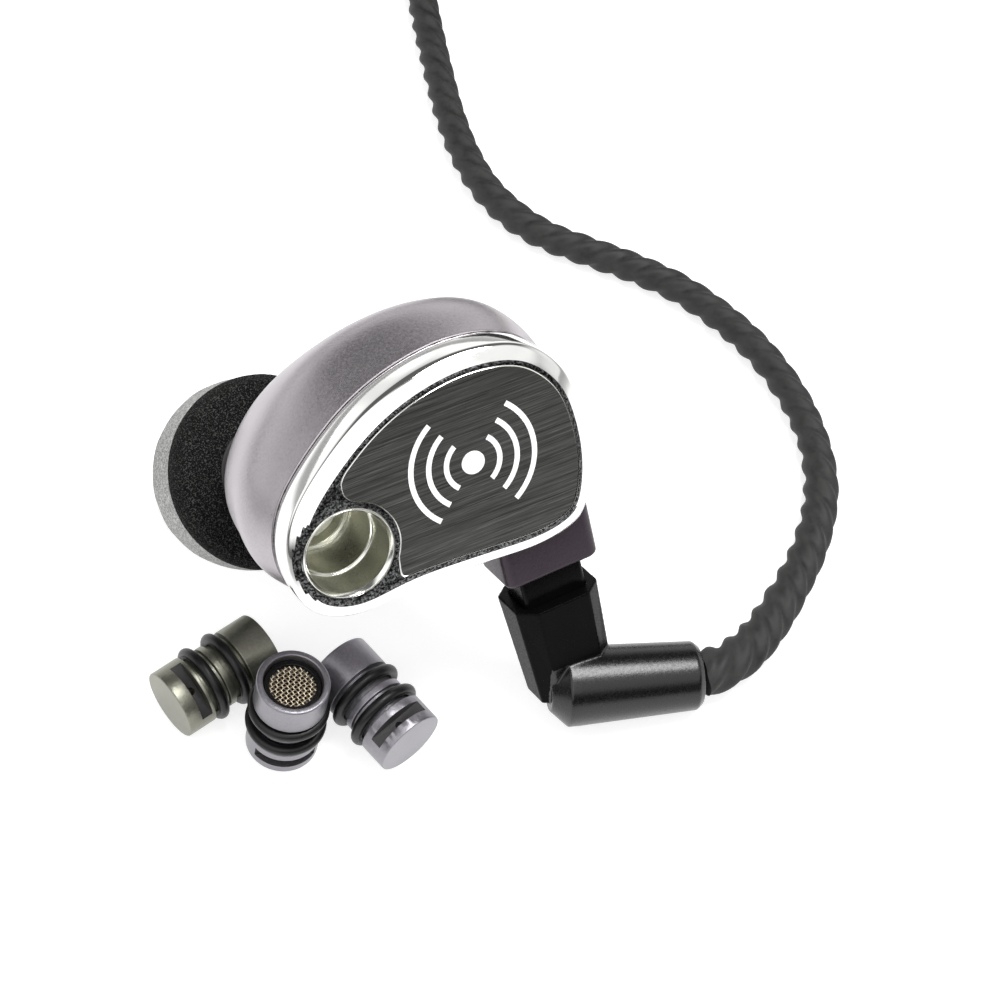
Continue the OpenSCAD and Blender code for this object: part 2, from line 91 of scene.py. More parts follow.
def face_frame():
    """Origin in the middle of the faceplate, +X along its straight edge, +Z out of it."""
    bore = MOUNTS["module_bore"]
    out = Vector(bore["axis"]).normalized()
    pull = Vector(JOINTS["earpiece_unplug"]["axis"])
    pull = (pull - pull.dot(out) * out).normalized()
    side = pull.cross(out)
    y = math.cos(PLUG_TURN) * pull + math.sin(PLUG_TURN) * side
    x = y.cross(out)
    origin = Vector(bore["pos_m"]) / MM + BORE_MID * out - SOCKET_AT[0] * x - SOCKET_AT[1] * y
    return axes(x, y, out, origin)


def nozzle_frame():
    """Origin at the nozzle's root, +Z along the nozzle, out of the shell."""
    canal = MOUNTS["ear_canal"]
    z = Vector(canal["axis"]).normalized()
    x = Vector((0, 1, 0)).cross(z).normalized()
    return axes(x, z.cross(x), z, Vector(canal["pos_m"]) / MM - (TIP_START + TIP_LEN) * z)


def turned(degrees, origin=(0, 0, 0)):
    matrix = Euler([math.radians(a) for a in degrees], "XYZ").to_matrix().to_4x4()
    matrix.translation = origin
    return matrix


FACE = face_frame()
NOZZLE = nozzle_frame()
PLUG = FACE @ turned((0, 0, math.degrees(PLUG_TURN)), PLUG_AT) @ turned((90, 0, 0))
SOCKET = FACE @ Matrix.Translation((SOCKET_AT[0], SOCKET_AT[1], 0))
TABLE = Matrix.Translation((5, 9.7, 0))          # from the table's own frame to the part's

# ---- curves ----


def spline(a, b, c, d, t):
    return 0.5 * (2 * b + (c - a) * t + (2 * a - 5 * b + 4 * c - d) * t * t
                  + (3 * b - a - 3 * c + d) * t * t * t)


def closed_curve(points, m):
    p = [Vector(q) for q in points]
    n = len(p)
    return [spline(p[i - 1], p[i], p[(i + 1) % n], p[(i + 2) % n], j / m)
            for i in range(n) for j in range(m)]


def open_curve(points, m):
    p = [Vector(q) for q in points]
    last = len(p) - 1
    curve = [spline(p[max(i - 1, 0)], p[i], p[i + 1], p[min(i + 2, last)], j / m)
             for i in range(last) for j in range(m)]
    return curve + [p[last]]


def grown(curve, distance):
    """The closed curve moved out by distance."""
    n = len(curve)
    moved = []
    for i in range(n):
        t = (curve[(i + 1) % n] - curve[i - 1]).normalized()
        moved.append(curve[i] + distance * Vector((-t.y, t.x)))
    return moved


def evened(curve, reach):
    """The closed curve with each point at the mean of those within reach, so that its bends flow."""
    n = len(curve)
    return [sum((curve[(i + k) % n] for k in range(-reach, reach + 1)), Vector((0, 0))) / (2 * reach + 1)
            for i in range(n)]


def filleted(points, steps):
    """A closed or open outline of (x, y, radius) corners; those without a radius stay sharp."""
    n = len(points)
    result = []
    for i in range(n):
        a, b, c = (Vector(points[k % n][:2]) for k in (i - 1, i, i + 1))
        r = points[i][2] if len(points[i]) > 2 else 0
        u, v = (a - b), (c - b)
        if r <= 0 or u.length < 1e-9 or v.length < 1e-9:
            result.append(b)
            continue
        half = u.angle(v) / 2
        cut = min(r / max(math.tan(half), 1e-6), 0.45 * u.length, 0.45 * v.length)
        p, q = b + cut * u.normalized(), b + cut * v.normalized()
        for k in range(steps + 1):
            t = k / steps
            result.append((1 - t) ** 2 * p + 2 * t * (1 - t) * b + t * t * q)
    return result


def rounded_box(w, d, r, steps=6):
    corners = ((1, 1, 0), (-1, 1, 90), (-1, -1, 180), (1, -1, 270))
    points = []
    for x, y, start in corners:
        for k in range(steps + 1):
            a = math.radians(start + 90 * k / steps)
            points.append(Vector((x * (w / 2 - r) + r * math.cos(a), y * (d / 2 - r) + r * math.sin(a))))
    return points


# ---- meshes ----


def in_scene(name, data):
    """A new object in the scene."""
    item = bpy.data.objects.new(name, data)
    bpy.context.scene.collection.objects.link(item)
    return item


def make(name, verts, faces, place=Matrix(), sharp=35):
    """A mesh object from millimetre points in the frame that place gives, its faces turned outward."""
    mesh = bpy.data.meshes.new(name)
    mesh.from_pydata([MM * (place @ Vector(v)) for v in verts], [], faces)
    mesh.validate()
    mesh.shade_smooth()
    mesh.set_sharp_from_angle(angle=math.radians(sharp))
    outward = bmesh.new()
    outward.from_mesh(mesh)
    bmesh.ops.recalc_face_normals(outward, faces=outward.faces)
    outward.to_mesh(mesh)
    outward.free()
    return in_scene(name, mesh)


def loft_data(rings, caps=True, wrap=False):
    """Vertices and faces of a skin over closed rings; wrap joins the last ring to the first."""
    n = len(rings[0])
    verts = [v for ring in rings for v in ring]
    faces = []
    spans = len(rings) if wrap else len(rings) - 1
    for k in range(spans):
        a, b = k * n, ((k + 1) % len(rings)) * n
        faces += [(a + i, a + (i + 1) % n, b + (i + 1) % n, b + i) for i in range(n)]
    if caps and not wrap:
        faces.append(tuple(range(n - 1, -1, -1)))
        faces.append(tuple((len(rings) - 1) * n + i for i in range(n)))
    return verts, faces


def lathe_data(profile, sides=128):
    """A turned solid from (radius, z) points, which start and end on the axis or close up."""
    verts, faces, rows = [], [], []
    for r, z in profile:
        if r < 1e-6:
            rows.append([len(verts)])
            verts.append((0, 0, z))
        else:
            rows.append(list(range(len(verts), len(verts) + sides)))
            verts += [(r * math.cos(math.tau * k / sides), r * math.sin(math.tau * k / sides), z)
                      for k in range(sides)]
    pairs = list(zip(rows, rows[1:]))
    if len(rows[0]) > 1 and len(rows[-1]) > 1:
        pairs.append((rows[-1], rows[0]))
    for a, b in pairs:
        for k in range(sides):
            j = (k + 1) % sides
            if len(a) == 1:
                faces.append((a[0], b[k], b[j]))
            elif len(b) == 1:
                faces.append((a[k], b[0], a[j]))
            else:
                faces.append((a[k], b[k], b[j], a[j]))
    return verts, faces


def lathe(name, profile, place=Matrix(), sides=128, sharp=30):
    return make(name, *lathe_data(profile, sides), place, sharp)


def prism(name, outline, z0, z1, place=Matrix()):
    return make(name, *loft_data([[(p.x, p.y, z) for p in outline] for z in (z0, z1)]), place)


def soft_prism(outline_at, z0, z1, edge0, edge1, steps):
    """Rings of a bar whose end edges are rounded by edge0 and edge1; outline_at(inset) is its section."""
    rings = []
    for z, edge, sign in ((z0, edge0, 1), (z1, edge1, -1)):
        angles = range(steps + 1) if sign > 0 else range(steps, -1, -1)
        for k in angles:
            a = math.pi / 2 * k / steps
            inset, rise = edge * (1 - math.sin(a)), edge * (1 - math.cos(a))
            rings.append([(p.x, p.y, z + sign * rise) for p in outline_at(inset)])
    return rings


def apply_modifiers(piece):
    bpy.context.view_layer.update()
    graph = bpy.context.evaluated_depsgraph_get()
    mesh = bpy.data.meshes.new_from_object(piece.evaluated_get(graph))
    old, name = piece.data, piece.data.name
    piece.modifiers.clear()
    piece.data = mesh
    bpy.data.meshes.remove(old)
    mesh.name = name


def combine(piece, tool, operation):
    modifier = piece.modifiers.new("bool", "BOOLEAN")
    modifier.operation = operation
    modifier.solver = "EXACT"
    modifier.object = tool
    apply_modifiers(piece)
    bpy.data.objects.remove(tool)


def carve(piece, outline, z0, z1, place):
    """Cuts a prism away from the piece."""
    combine(piece, prism("cut", outline, z0, z1, place), "DIFFERENCE")


def bevel(piece, width):
    """Breaks the edges that turn by more than 50 degrees."""
    modifier = piece.modifiers.new("bevel", "BEVEL")
    modifier.width = width * MM
    modifier.segments = 2
    modifier.limit_method = "ANGLE"
    modifier.angle_limit = math.radians(50)
    modifier.use_clamp_overlap = True
    modifier.miter_outer = "MITER_ARC"
    apply_modifiers(piece)


def finish_shading(piece):
    piece.data.shade_smooth()
    piece.data.set_sharp_from_angle(angle=math.radians(40))


def join(name, pieces):
    """One object from several, keeping their material slots."""
    with bpy.context.temp_override(active_object=pieces[0], object=pieces[0],
                                   selected_objects=pieces, selected_editable_objects=pieces):
        bpy.ops.object.join()
    pieces[0].name = name
    pieces[0].data.name = name
    return pieces[0]


def sweep_data(path, radius_at, sides):
    """A closed tube along path, whose radius is radius_at(ring, share round, distance along)."""
    rings = []
    along = 0.0
    last = len(path) - 1
    for i, point in enumerate(path):
        if i:
            along += (path[i] - path[i - 1]).length
        way = (path[min(i + 1, last)] - path[max(i - 1, 0)]).normalized()
        side = way.cross(Vector((0, 0, 1))).normalized()
        top = side.cross(way)
        ring = []
        for k in range(sides):
            a = math.tau * k / sides
            r = radius_at(i, a, along)
            ring.append(point + r * (math.cos(a) * side + math.sin(a) * top))
        rings.append(ring)
    return loft_data(rings)


def resampled(path, step):
    """The path with points at an even step along it."""
    result = [path[0].copy()]
    need = step
    for a, b in zip(path, path[1:]):
        length = (b - a).length
        done = 0.0
        while length - done > need:
            done += need
            result.append(a + (b - a) * (done / length))
            need = step
        need -= length - done
    result.append(path[-1].copy())
    return result


def path_length(path):
    return sum((b - a).length for a, b in zip(path, path[1:]))


def show(piece, body, slot, *replaced):
    """Gives a piece its material if it has none, the body it rides on, and the CAD nodes it replaces."""
    if not piece.data.materials:
        piece.data.materials.append(M[slot])
    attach(piece, body)
    if replaced:
        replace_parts(piece, *replaced)
    return piece


def paint(piece, place, first, second, chosen):
    """The first material all over, and the second where chosen(centre, normal), in place's frame, holds."""
    piece.data.materials.clear()
    piece.data.materials.append(M[first])
    piece.data.materials.append(M[second])
    back = place.inverted()
    turn = back.to_3x3()
    for face in piece.data.polygons:
        if chosen(back @ (face.center / MM), turn @ face.normal):
            face.material_index = 1
    return piece


# ---- materials ----


def new_node(tree, kind, inputs=(), **settings):
    """A shader node with its settings, whose inputs are sockets to link or values to set."""
    node = tree.nodes.new(kind)
    for key, value in settings.items():
        setattr(node, key, value)
    for socket, value in dict(inputs).items():
        if isinstance(value, bpy.types.NodeSocket):
            tree.links.new(value, node.inputs[socket])
        else:
            node.inputs[socket].default_value = value
    return node


class Shader:
    """A node material whose textures are in the object's own metres."""

    def __init__(self, name, color=(0.5, 0.5, 0.5), metallic=0.0, roughness=0.5, **sockets):
        self.material = bpy.data.materials.new(name)
        self.material.use_nodes = True
        self.tree = self.material.node_tree
        self.bsdf = self.tree.nodes["Principled BSDF"]
        self.set("Base Color", (*color, 1))
        self.set("Metallic", metallic)
        self.set("Roughness", roughness)
        for socket, value in sockets.items():
            self.set(socket.replace("_", " "), value)
        self.coordinates = self.tree.nodes.new("ShaderNodeTexCoord").outputs["Object"]

    def set(self, socket, value):
        self.bsdf.inputs[socket].default_value = value

    def node(self, kind, inputs=(), **settings):
        return new_node(self.tree, kind, inputs, **settings)

    def noise(self, per_mm, detail=3.0, rough=0.5, vector=None):
        node = self.node("ShaderNodeTexNoise", {"Vector": vector or self.coordinates, "Detail": detail,
                                                "Scale": per_mm / MM, "Roughness": rough})
        return node.outputs["Fac"]

    def cells(self, per_mm):
        node = self.node("ShaderNodeTexVoronoi", {"Vector": self.coordinates, "Scale": per_mm / MM})
        return node.outputs["Distance"]

    def ramp(self, factor, low, high, a, b):
        """Colour a where factor is under low, to colour b where it is over high."""
        node = self.node("ShaderNodeValToRGB", {"Fac": factor})
        node.color_ramp.elements[0].position = low
        node.color_ramp.elements[0].color = (*a, 1)
        node.color_ramp.elements[1].position = high
        node.color_ramp.elements[1].color = (*b, 1)
        return node.outputs["Color"]

    def spread(self, factor, low, high, a, b):
        node = self.node("ShaderNodeMapRange", {0: factor, 1: low, 2: high, 3: a, 4: b})
        return node.outputs[0]

    def mix(self, factor, a, b):
        return self.node("ShaderNodeMix", {0: factor, 6: a, 7: b}, data_type="RGBA").outputs[2]

    def into(self, socket, value):
        self.tree.links.new(value, self.bsdf.inputs[socket])

    def bump(self, height, depth, strength=1.0, normal=None):
        inputs = {"Height": height, "Distance": depth * MM, "Strength": strength}
        if normal is not None:
            inputs["Normal"] = normal
        return self.node("ShaderNodeBump", inputs).outputs["Normal"]


def scaled(color, share):
    return tuple(min(c * share, 1.0) for c in color)


def blasted(name, color, roughness=0.4, grain=1.0):
    """Bead-blasted, anodised aluminium: fine pits, slight blotches in the dye."""
    s = Shader(name, color, 0.9, roughness)
    blotch = s.noise(0.35, 3)
    pits = s.noise(6, 3, 0.65)
    s.into("Base Color", s.mix(s.spread(pits, 0.38, 0.68, 0.0, 0.5),
                               s.ramp(blotch, 0.3, 0.7, scaled(color, 0.93), scaled(color, 1.07)),
                               (*scaled(color, 1.35), 1)))
    s.into("Roughness", s.spread(pits, 0.3, 0.7, roughness - 0.05, roughness + 0.08))
    s.into("Normal", s.bump(pits, 0.02 * grain, 0.55))
    return s.material


def polished(name, color, roughness=0.07, wave=0.004):
    """Polished metal with the slight waviness and hairlines of hand buffing."""
    s = Shader(name, color, 1.0, roughness)
    waves = s.noise(0.9, 2)
    hair = s.noise(14, 2, 0.7)
    s.into("Base Color", s.ramp(waves, 0.3, 0.7, scaled(color, 0.97), color))
    s.into("Roughness", s.spread(hair, 0.35, 0.7, roughness * 0.8, roughness * 1.5))
    s.into("Normal", s.bump(hair, wave * 0.3, 0.5, s.bump(waves, wave, 0.5)))
    return s.material


def rotated(s, matrix, scale):
    """Texture coordinates along matrix's own axes, scaled."""
    turn = matrix.to_3x3().inverted().to_euler("XYZ")
    first = s.node("ShaderNodeMapping", {"Vector": s.coordinates, "Rotation": turn})
    second = s.node("ShaderNodeMapping", {"Vector": first.outputs[0], "Scale": scale})
    return second.outputs[0]


def brushed(name, dark, light, roughness=0.34):
    """Anodised plate, brushed along the faceplate's straight edge."""
    s = Shader(name, dark, 0.85, roughness)
    lines = FACE @ turned((0, 0, 4))
    fine = s.noise(1.0, 3, 0.7, rotated(s, lines, (0.16, 9, 1)))
    scratch = s.noise(1.0, 2, 0.6, rotated(s, lines, (0.3, 17, 1)))
    body = s.ramp(fine, 0.3, 0.72, dark, light)
    s.into("Base Color", s.mix(s.spread(scratch, 0.56, 0.78, 0, 0.8), body, (*scaled(light, 1.9), 1)))
    s.into("Roughness", s.spread(fine, 0.3, 0.7, roughness - 0.08, roughness + 0.1))
    s.into("Normal", s.bump(scratch, 0.004, 0.6))
    return s.material


def speckled_land_painted_reflection(name):
    """The speckled land around the inlay and the socket: its speckle is the land's own grain, its near-black
    colour a painted dark reflection.
    """
    s = Shader(name, (0.1, 0.1, 0.1), 1.0, 0.3)
    grain = s.noise(7, 3, 0.7)
    s.into("Base Color", s.ramp(grain, 0.45, 0.68, (0.007, 0.0072, 0.0072), (0.26, 0.265, 0.265)))
    s.into("Normal", s.bump(grain, 0.02, 0.7))
    return s.material


def moulded(name, color, roughness=0.3, grain=0.5, shine=0.5):
    """Satin moulded plastic or rubber with a fine spark-eroded grain."""
    s = Shader(name, color, 0.0, roughness, Specular_IOR_Level=shine)
    fine = s.noise(6.5, 3, 0.65)
    broad = s.noise(0.6, 2)
    s.into("Base Color", s.ramp(broad, 0.3, 0.7, scaled(color, 0.85), scaled(color, 1.15)))
    s.into("Roughness", s.spread(fine, 0.3, 0.7, roughness - 0.05, roughness + 0.1))
    s.into("Normal", s.bump(fine, 0.01 * grain, 0.6))
    return s.material


def shrink_sleeve(name, color):
    """Matte heat-shrunk sleeve: soft sheen, rubbed patches."""
    s = Shader(name, color, 0.0, 0.62, Specular_IOR_Level=0.3)
    patch = s.noise(0.9, 4, 0.65)
    fine = s.noise(8, 2, 0.6)
    s.into("Base Color", s.ramp(patch, 0.32, 0.7, scaled(color, 0.62), scaled(color, 1.5)))
    s.into("Roughness", s.spread(patch, 0.3, 0.7, 0.5, 0.75))
    s.into("Normal", s.bump(fine, 0.012, 0.5, s.bump(patch, 0.05, 0.4)))
    return s.material


def foam(name, dark, light, cell, depth, walls=(0.1, 0.42)):
    """Open-cell foam: pores between pale cell walls."""
    s = Shader(name, light, 0.0, 0.95, Specular_IOR_Level=0.15)
    cells = s.cells(cell)
    grain = s.noise(9, 3, 0.7)
    both = s.node("ShaderNodeMath", {0: cells, 1: grain}, operation="MULTIPLY").outputs[0]
    s.into("Base Color", s.ramp(both, *walls, dark, light))
    s.into("Normal", s.bump(grain, depth * 0.5, 0.8, s.bump(cells, depth, 0.9)))
    return s.material


def plain(name, color, metallic, roughness, per_mm=2.0):
    """A material for inner pieces: slight mottling, fine grain."""
    s = Shader(name, color, metallic, roughness)
    mottle = s.noise(per_mm, 3)
    s.into("Base Color", s.ramp(mottle, 0.3, 0.7, scaled(color, 0.88), scaled(color, 1.1)))
    s.into("Roughness", s.spread(mottle, 0.3, 0.7, max(roughness - 0.06, 0.03), roughness + 0.06))
    s.into("Normal", s.bump(s.noise(per_mm * 5, 2), 0.004, 0.5))
    return s.material


M = {
    "shell_anodised": blasted("anodised_shell", (0.385, 0.36, 0.379), 0.32),
    # The boss is the shell's anodising with its colour darkened: a painted dark reflection.
    "boss_painted_dark_reflection": blasted("anodised_boss_painted_dark_reflection", (0.045, 0.035, 0.0435), 0.34),
    "bezel_polished": polished("polished_bezel", (0.9, 0.9, 0.88)),
    # Land metal darkened to near black: painted dark reflection, over the land's real speckle.
    "bezel_land_painted_reflection": speckled_land_painted_reflection("speckled_land_painted_reflection"),
    "inlay_brushed": brushed("brushed_inlay", (0.04, 0.04, 0.038), (0.13, 0.13, 0.126)),
    "inlay_edge": polished("inlay_edge", (0.75, 0.75, 0.73), 0.15),
    "print_white": plain("pad_print", (0.93, 0.93, 0.91), 0.0, 0.45, 3),
    "socket_nickel": polished("satin_nickel", (0.62, 0.62, 0.54), 0.3, 0.006),
    "socket_rim": polished("polished_rim", (0.9, 0.9, 0.86), 0.12),
    "gasket_black": moulded("gasket_rubber", (0.012, 0.012, 0.012), 0.6),
    "screen_steel": plain("etched_steel", (0.4, 0.4, 0.4), 1.0, 0.35, 5),
    "damper": moulded("damper_rubber", (0.06, 0.22, 0.15), 0.5),
    "driver_steel": plain("driver_steel", (0.62, 0.62, 0.63), 1.0, 0.28),
    "bracket_plastic": moulded("bracket_plastic", (0.08, 0.09, 0.1), 0.5),
    "tube_clear": moulded("silicone_tube", (0.5, 0.56, 0.6), 0.35),
    "board_green": moulded("solder_mask", (0.01, 0.07, 0.025), 0.3),
    "chip_tan": plain("chip_ceramic", (0.35, 0.24, 0.12), 0.0, 0.5, 6),
    "wire_red": moulded("wire_enamel", (0.25, 0.02, 0.015), 0.25),
    "insulator_black": moulded("insulator", (0.002, 0.002, 0.002), 0.25, 0.5, 0.1),
    "contact_gold": polished("gold_plate", (0.9, 0.62, 0.25), 0.16),
    "tip_core_rubber": moulded("core_rubber", (0.02, 0.02, 0.021), 0.55),
    "foam_grey": foam("foam_grey", (0.2, 0.2, 0.197), (0.55, 0.55, 0.54), 7, 0.03),
    "foam_black": foam("foam_black", (0.001, 0.001, 0.001), (0.055, 0.055, 0.053), 12, 0.05, (0.25, 0.42)),
    "plug_satin_black": moulded("plug_moulding", (0.002, 0.002, 0.0021), 0.28, 0.8, 0.04),
    "barrel_moulded": moulded("plug_barrel", (0.001, 0.001, 0.0011), 0.23, 0.8, 0.52),
    "sleeve_black": shrink_sleeve("shrink_sleeve", (0.022, 0.022, 0.0215)),
    "cable_black": shrink_sleeve("cable_jacket", (0.016, 0.016, 0.0157)),
    "tie_black": shrink_sleeve("strap", (0.012, 0.012, 0.012)),
    "barrel_black": blasted("barrel_anodised", (0.02, 0.02, 0.022), 0.35),
    "module_olive": blasted("anodised_olive", (0.22, 0.22, 0.18), 0.34, 1.3),
    # The slot floors get a dark copy of the module anodising: painted shade in the recess.
    "slot_floor": blasted("slot_floor", (0.03, 0.029, 0.029), 0.5),
    "module_violet": blasted("anodised_violet", (0.24, 0.232, 0.252), 0.34, 1.3),
    "oring_black": moulded("oring_rubber", (0.004, 0.004, 0.004), 0.33, 0.4, 0.35),
    "cap_ring_black": moulded("cap_ring", (0.003, 0.003, 0.003), 0.3, 0.5, 0.25),
    "mesh_bronze": plain("woven_wire", (0.66, 0.58, 0.44), 1.0, 0.3, 6),
}

# ---- camera ----

CAMERA_BACK, CAMERA_HIGH = 115.29, 153.0         # from the point looked at
LOOK_AT = Vector((5, 9.7, 0))


def make_camera():
    data = bpy.data.cameras.new("camera")
    data.lens = 100
    data.sensor_width = 36
    data.clip_start = 0.005
    data.clip_end = 20
    camera = in_scene("camera", data)
    place = LOOK_AT + Vector((0, -CAMERA_BACK, CAMERA_HIGH))
    camera.location = MM * place
    camera.rotation_euler = (LOOK_AT - place).to_track_quat("-Z", "Y").to_euler()
    bpy.context.scene.camera = camera


make_camera()

# ---- cable ----

# Route of the sleeve over the ear and of the bare lead after it, in the table's frame
HOOK_ROUTE = [
    (12.9, -16, 2.4), (14.9, -14.9, 2.1), (16.9, -12.7, 1.7), (18.9, -9.3, 1.4), (20.8, -5.2, 1.3),
    (21.9, -1, 1.3), (21.9, 3.2, 1.3), (20.8, 7.6, 1.3), (18.7, 11.9, 1.3), (16, 15.4, 1.3),
    (13, 18.2, 1.3), (9.6, 20.3, 1.3), (6.3, 21.9, 1.3), (3.4, 23.4, 1.3), (1, 25.4, 1.3),
    (-1.1, 28.2, 1.3), (-2.7, 31.8, 1.3), (-3.9, 36, 1.3), (-4.8, 40.5, 1.3), (-5.6, 45, 1.3),
    (-6.4, 50, 1.3),
]
LEAD_ROUTE = [(-7.4, 55, 1.4), (-8.6, 60, 1.5), (-9.6, 65, 1.5)]
TAIL_ROUTE = [
    (-9.455, 74.141, 7.5), (-8.6, 78.3, 7.4), (-6.7, 82.4, 6.6), (-3.9, 86.2, 5.3), (-0.4, 89.1, 4),
    (3.2, 90.4, 3.2), (7, 90.7, 2.9),
]
COIL_AT = Vector((6, 70, 1.5))
COIL_OUT = 16                     # radius of the outermost turn's middle
CABLE_D = 2.0
TURN_STEPS = 48


def coil_path():
    """Clockwise turns in four layers: in, out, in, out, a cable's width apart each way."""
    points = []
    angle, radius, z = math.pi, float(COIL_OUT), 0.0

    def step(dr, dz):
        nonlocal angle, radius, z
        angle -= math.tau / TURN_STEPS
        radius += dr
        z += dz
        points.append(COIL_AT + Vector((radius * math.cos(angle), radius * math.sin(angle), z)))

    rise = TURN_STEPS // 6
    for layer, turns in enumerate((4, 4, 3, 3)):
        if layer:
            for k in range(rise):
                step(0, CABLE_D / rise)
        for k in range(turns * TURN_STEPS):
            step((1 if layer % 2 else -1) * CABLE_D / TURN_STEPS, 0)
    for k in range(TURN_STEPS * 13 // 24):
        step(0, 0)
    return points


sleeve_line = resampled(open_curve([TABLE @ Vector(p) for p in HOOK_ROUTE], 10), 0.25)
coil_line = [TABLE @ p for p in coil_path()]
lead_line = open_curve([TABLE @ Vector(p) for p in [HOOK_ROUTE[-2], HOOK_ROUTE[-1]] + LEAD_ROUTE]
                       + coil_line[:2], 8)[8:-8]
tail_line = open_curve([coil_line[-2]] + [TABLE @ Vector(p) for p in TAIL_ROUTE], 8)[8:]
cable_line = resampled(sleeve_line + lead_line[1:] + coil_line[1:-1] + tail_line, 0.6)


def rope(a, phase, fill):
    """Share of a four-strand rope's outer radius at angle a, with grooves filled up to fill."""
    off = (a - phase + math.pi / 4) % (math.pi / 2) - math.pi / 4
    middle, strand = 0.586, 0.414
    bare = middle * math.cos(off) + math.sqrt(max(strand ** 2 - (middle * math.sin(off)) ** 2, 0))
    return ((bare ** 12 + fill ** 12) / (1 + fill ** 12)) ** (1 / 12)


def eased(stops, x):
    """Value at x of a smooth curve through (x, value) stops."""
    for (x0, y0), (x1, y1) in zip(stops, stops[1:]):
        if x < x1:
            t = max(0.0, (x - x0) / (x1 - x0))
            return y0 + (y1 - y0) * t * t * (3 - 2 * t)
    return stops[-1][1]


# Outer radius of the shrunk sleeve at distances along it: stout at the plug, then close on the strands
SLEEVE_R = [(0, 1.62), (3, 1.5), (7, 1.4), (12, 1.3), (19, 1.25), (24, 1.14), (50, 1.14), (54, 1.2)]
LAY = 7.6                         # length of one full twist of the strands


def make_sleeve():
    """Sleeve shrunk over the twisted cable, with the strands showing through."""
    def radius_at(i, a, along):
        phase = math.tau * along / LAY + 0.25 * noise.noise(Vector((0, along * 0.2, 0)))
        depth = 0.8 + 0.06 * noise.noise(Vector((along * 0.5, 3, 0)))
        wrinkle = 0.012 * noise.noise(Vector((along * 1.6, 2 * math.cos(a), 2 * math.sin(a))))
        return eased(SLEEVE_R, along) * rope(a, phase, depth) + wrinkle

    return make("ear_hook_sleeve_visual", *sweep_data(sleeve_line, radius_at, 48), sharp=60)


def make_cable():
    in_sleeve = path_length(sleeve_line)

    def radius_at(i, a, along):
        r = eased([(0, 0.8), (in_sleeve - 1, 0.8), (in_sleeve + 1, CABLE_D / 2)], along)
        return r * rope(a, math.tau * along / LAY, 0.78)

    return make("twisted_cable", *sweep_data(cable_line, radius_at, 16), sharp=70)


cable = show(make_cable(), "cable_set", "cable_black", "cable", "cable_coil")
sleeve = show(make_sleeve(), "cable_set", "sleeve_black", "ear_hook_sleeve")

# ---- coil tie and jack ----

JACK = TABLE @ Matrix.Translation(TAIL_ROUTE[-1]) @ turned((0, 90, 0))
RELIEF_LEN, BARREL_FRONT, JACK_R = 6, 18.6, 1.75
STRAP_W, STRAP = 4.0, 0.5


def make_tie():
    """A soft strap round the coil."""
    low, high = (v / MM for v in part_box("coil_tie"))
    middle = (low + high) / 2
    half = (high - low) / 2 - Vector((STRAP / 2, 0, STRAP / 2))
    outline = rounded_box(2 * half.x, 2 * half.z, 1.0, 8)
    rings = []
    for k, p in enumerate(outline):
        q = outline[(k + 1) % len(outline)] - outline[k - 1]
        out = Vector((q.y, -q.x)).normalized()
        section = rounded_box(STRAP_W, STRAP, 0.2, 4)
        rings.append([(middle.x + p.x + out.x * s.y, middle.y + s.x, middle.z + p.y + out.y * s.y)
                      for s in section])
    return make("coil_strap", *loft_data(rings, wrap=True))


def lathe_cut(name, points, place, sides=96, steps=4):
    """A turned solid whose (radius, z, fillet) corners are rounded."""
    return lathe(name, [(max(p.x, 0), p.y) for p in filleted(points, steps)], place, sides)


def ribbed_relief():
    points = [(0, 0)]
    for k in range(5):
        z = 0.3 + 1.1 * k
        r = 1.35 + 0.12 * k
        points += [(r, z, 0.12), (r, z + 0.7, 0.12), (r - 0.25, z + 0.75, 0.05), (r - 0.25, z + 1.05, 0.05)]
    points += [(2.0, RELIEF_LEN - 0.3, 0.1), (2.0, RELIEF_LEN, 0), (0, RELIEF_LEN)]
    return lathe_cut("jack_relief", points, JACK)


def jack_barrel():
    r, groove = 2.7, 2.55
    points = [(0, RELIEF_LEN), (2.35, RELIEF_LEN, 0.2), (r, RELIEF_LEN + 0.5, 0.2), (r, 8, 0.05),
              (groove, 8.15, 0.02), (groove, 8.5, 0.02), (r, 8.65, 0.05), (r, BARREL_FRONT - 1, 0.15),
              (2.4, BARREL_FRONT, 0.1), (0, BARREL_FRONT)]
    return lathe_cut("jack_barrel_visual", points, JACK)


tie = show(make_tie(), "cable_set", "tie_black", "coil_tie")
relief = show(ribbed_relief(), "cable_set", "plug_satin_black", "jack_strain_relief")
barrel = show(jack_barrel(), "cable_set", "barrel_black", "jack_barrel")

CONTACTS = {
    "jack_sleeve": [(0, BARREL_FRONT), (JACK_R, BARREL_FRONT), (JACK_R, 25.6, 0.06), (0, 25.6)],
    "jack_ring": [(0, 26.2), (JACK_R, 26.2, 0.06), (JACK_R, 28.4, 0.06), (0, 28.4)],
    "jack_tip": [(0, 29), (JACK_R, 29, 0.06), (1.68, 29.3, 0.2), (1.2, 30, 0.25), (1.6, 30.8, 0.3),
                 (1.3, 31.6, 0.4), (0.7, 32.6, 0.35), (0, 32.6)],
}
contacts = [show(lathe_cut(f"{node}_visual", points, JACK), "cable_set", "contact_gold", node)
            for node, points in CONTACTS.items()]

# ---- faceplate ----

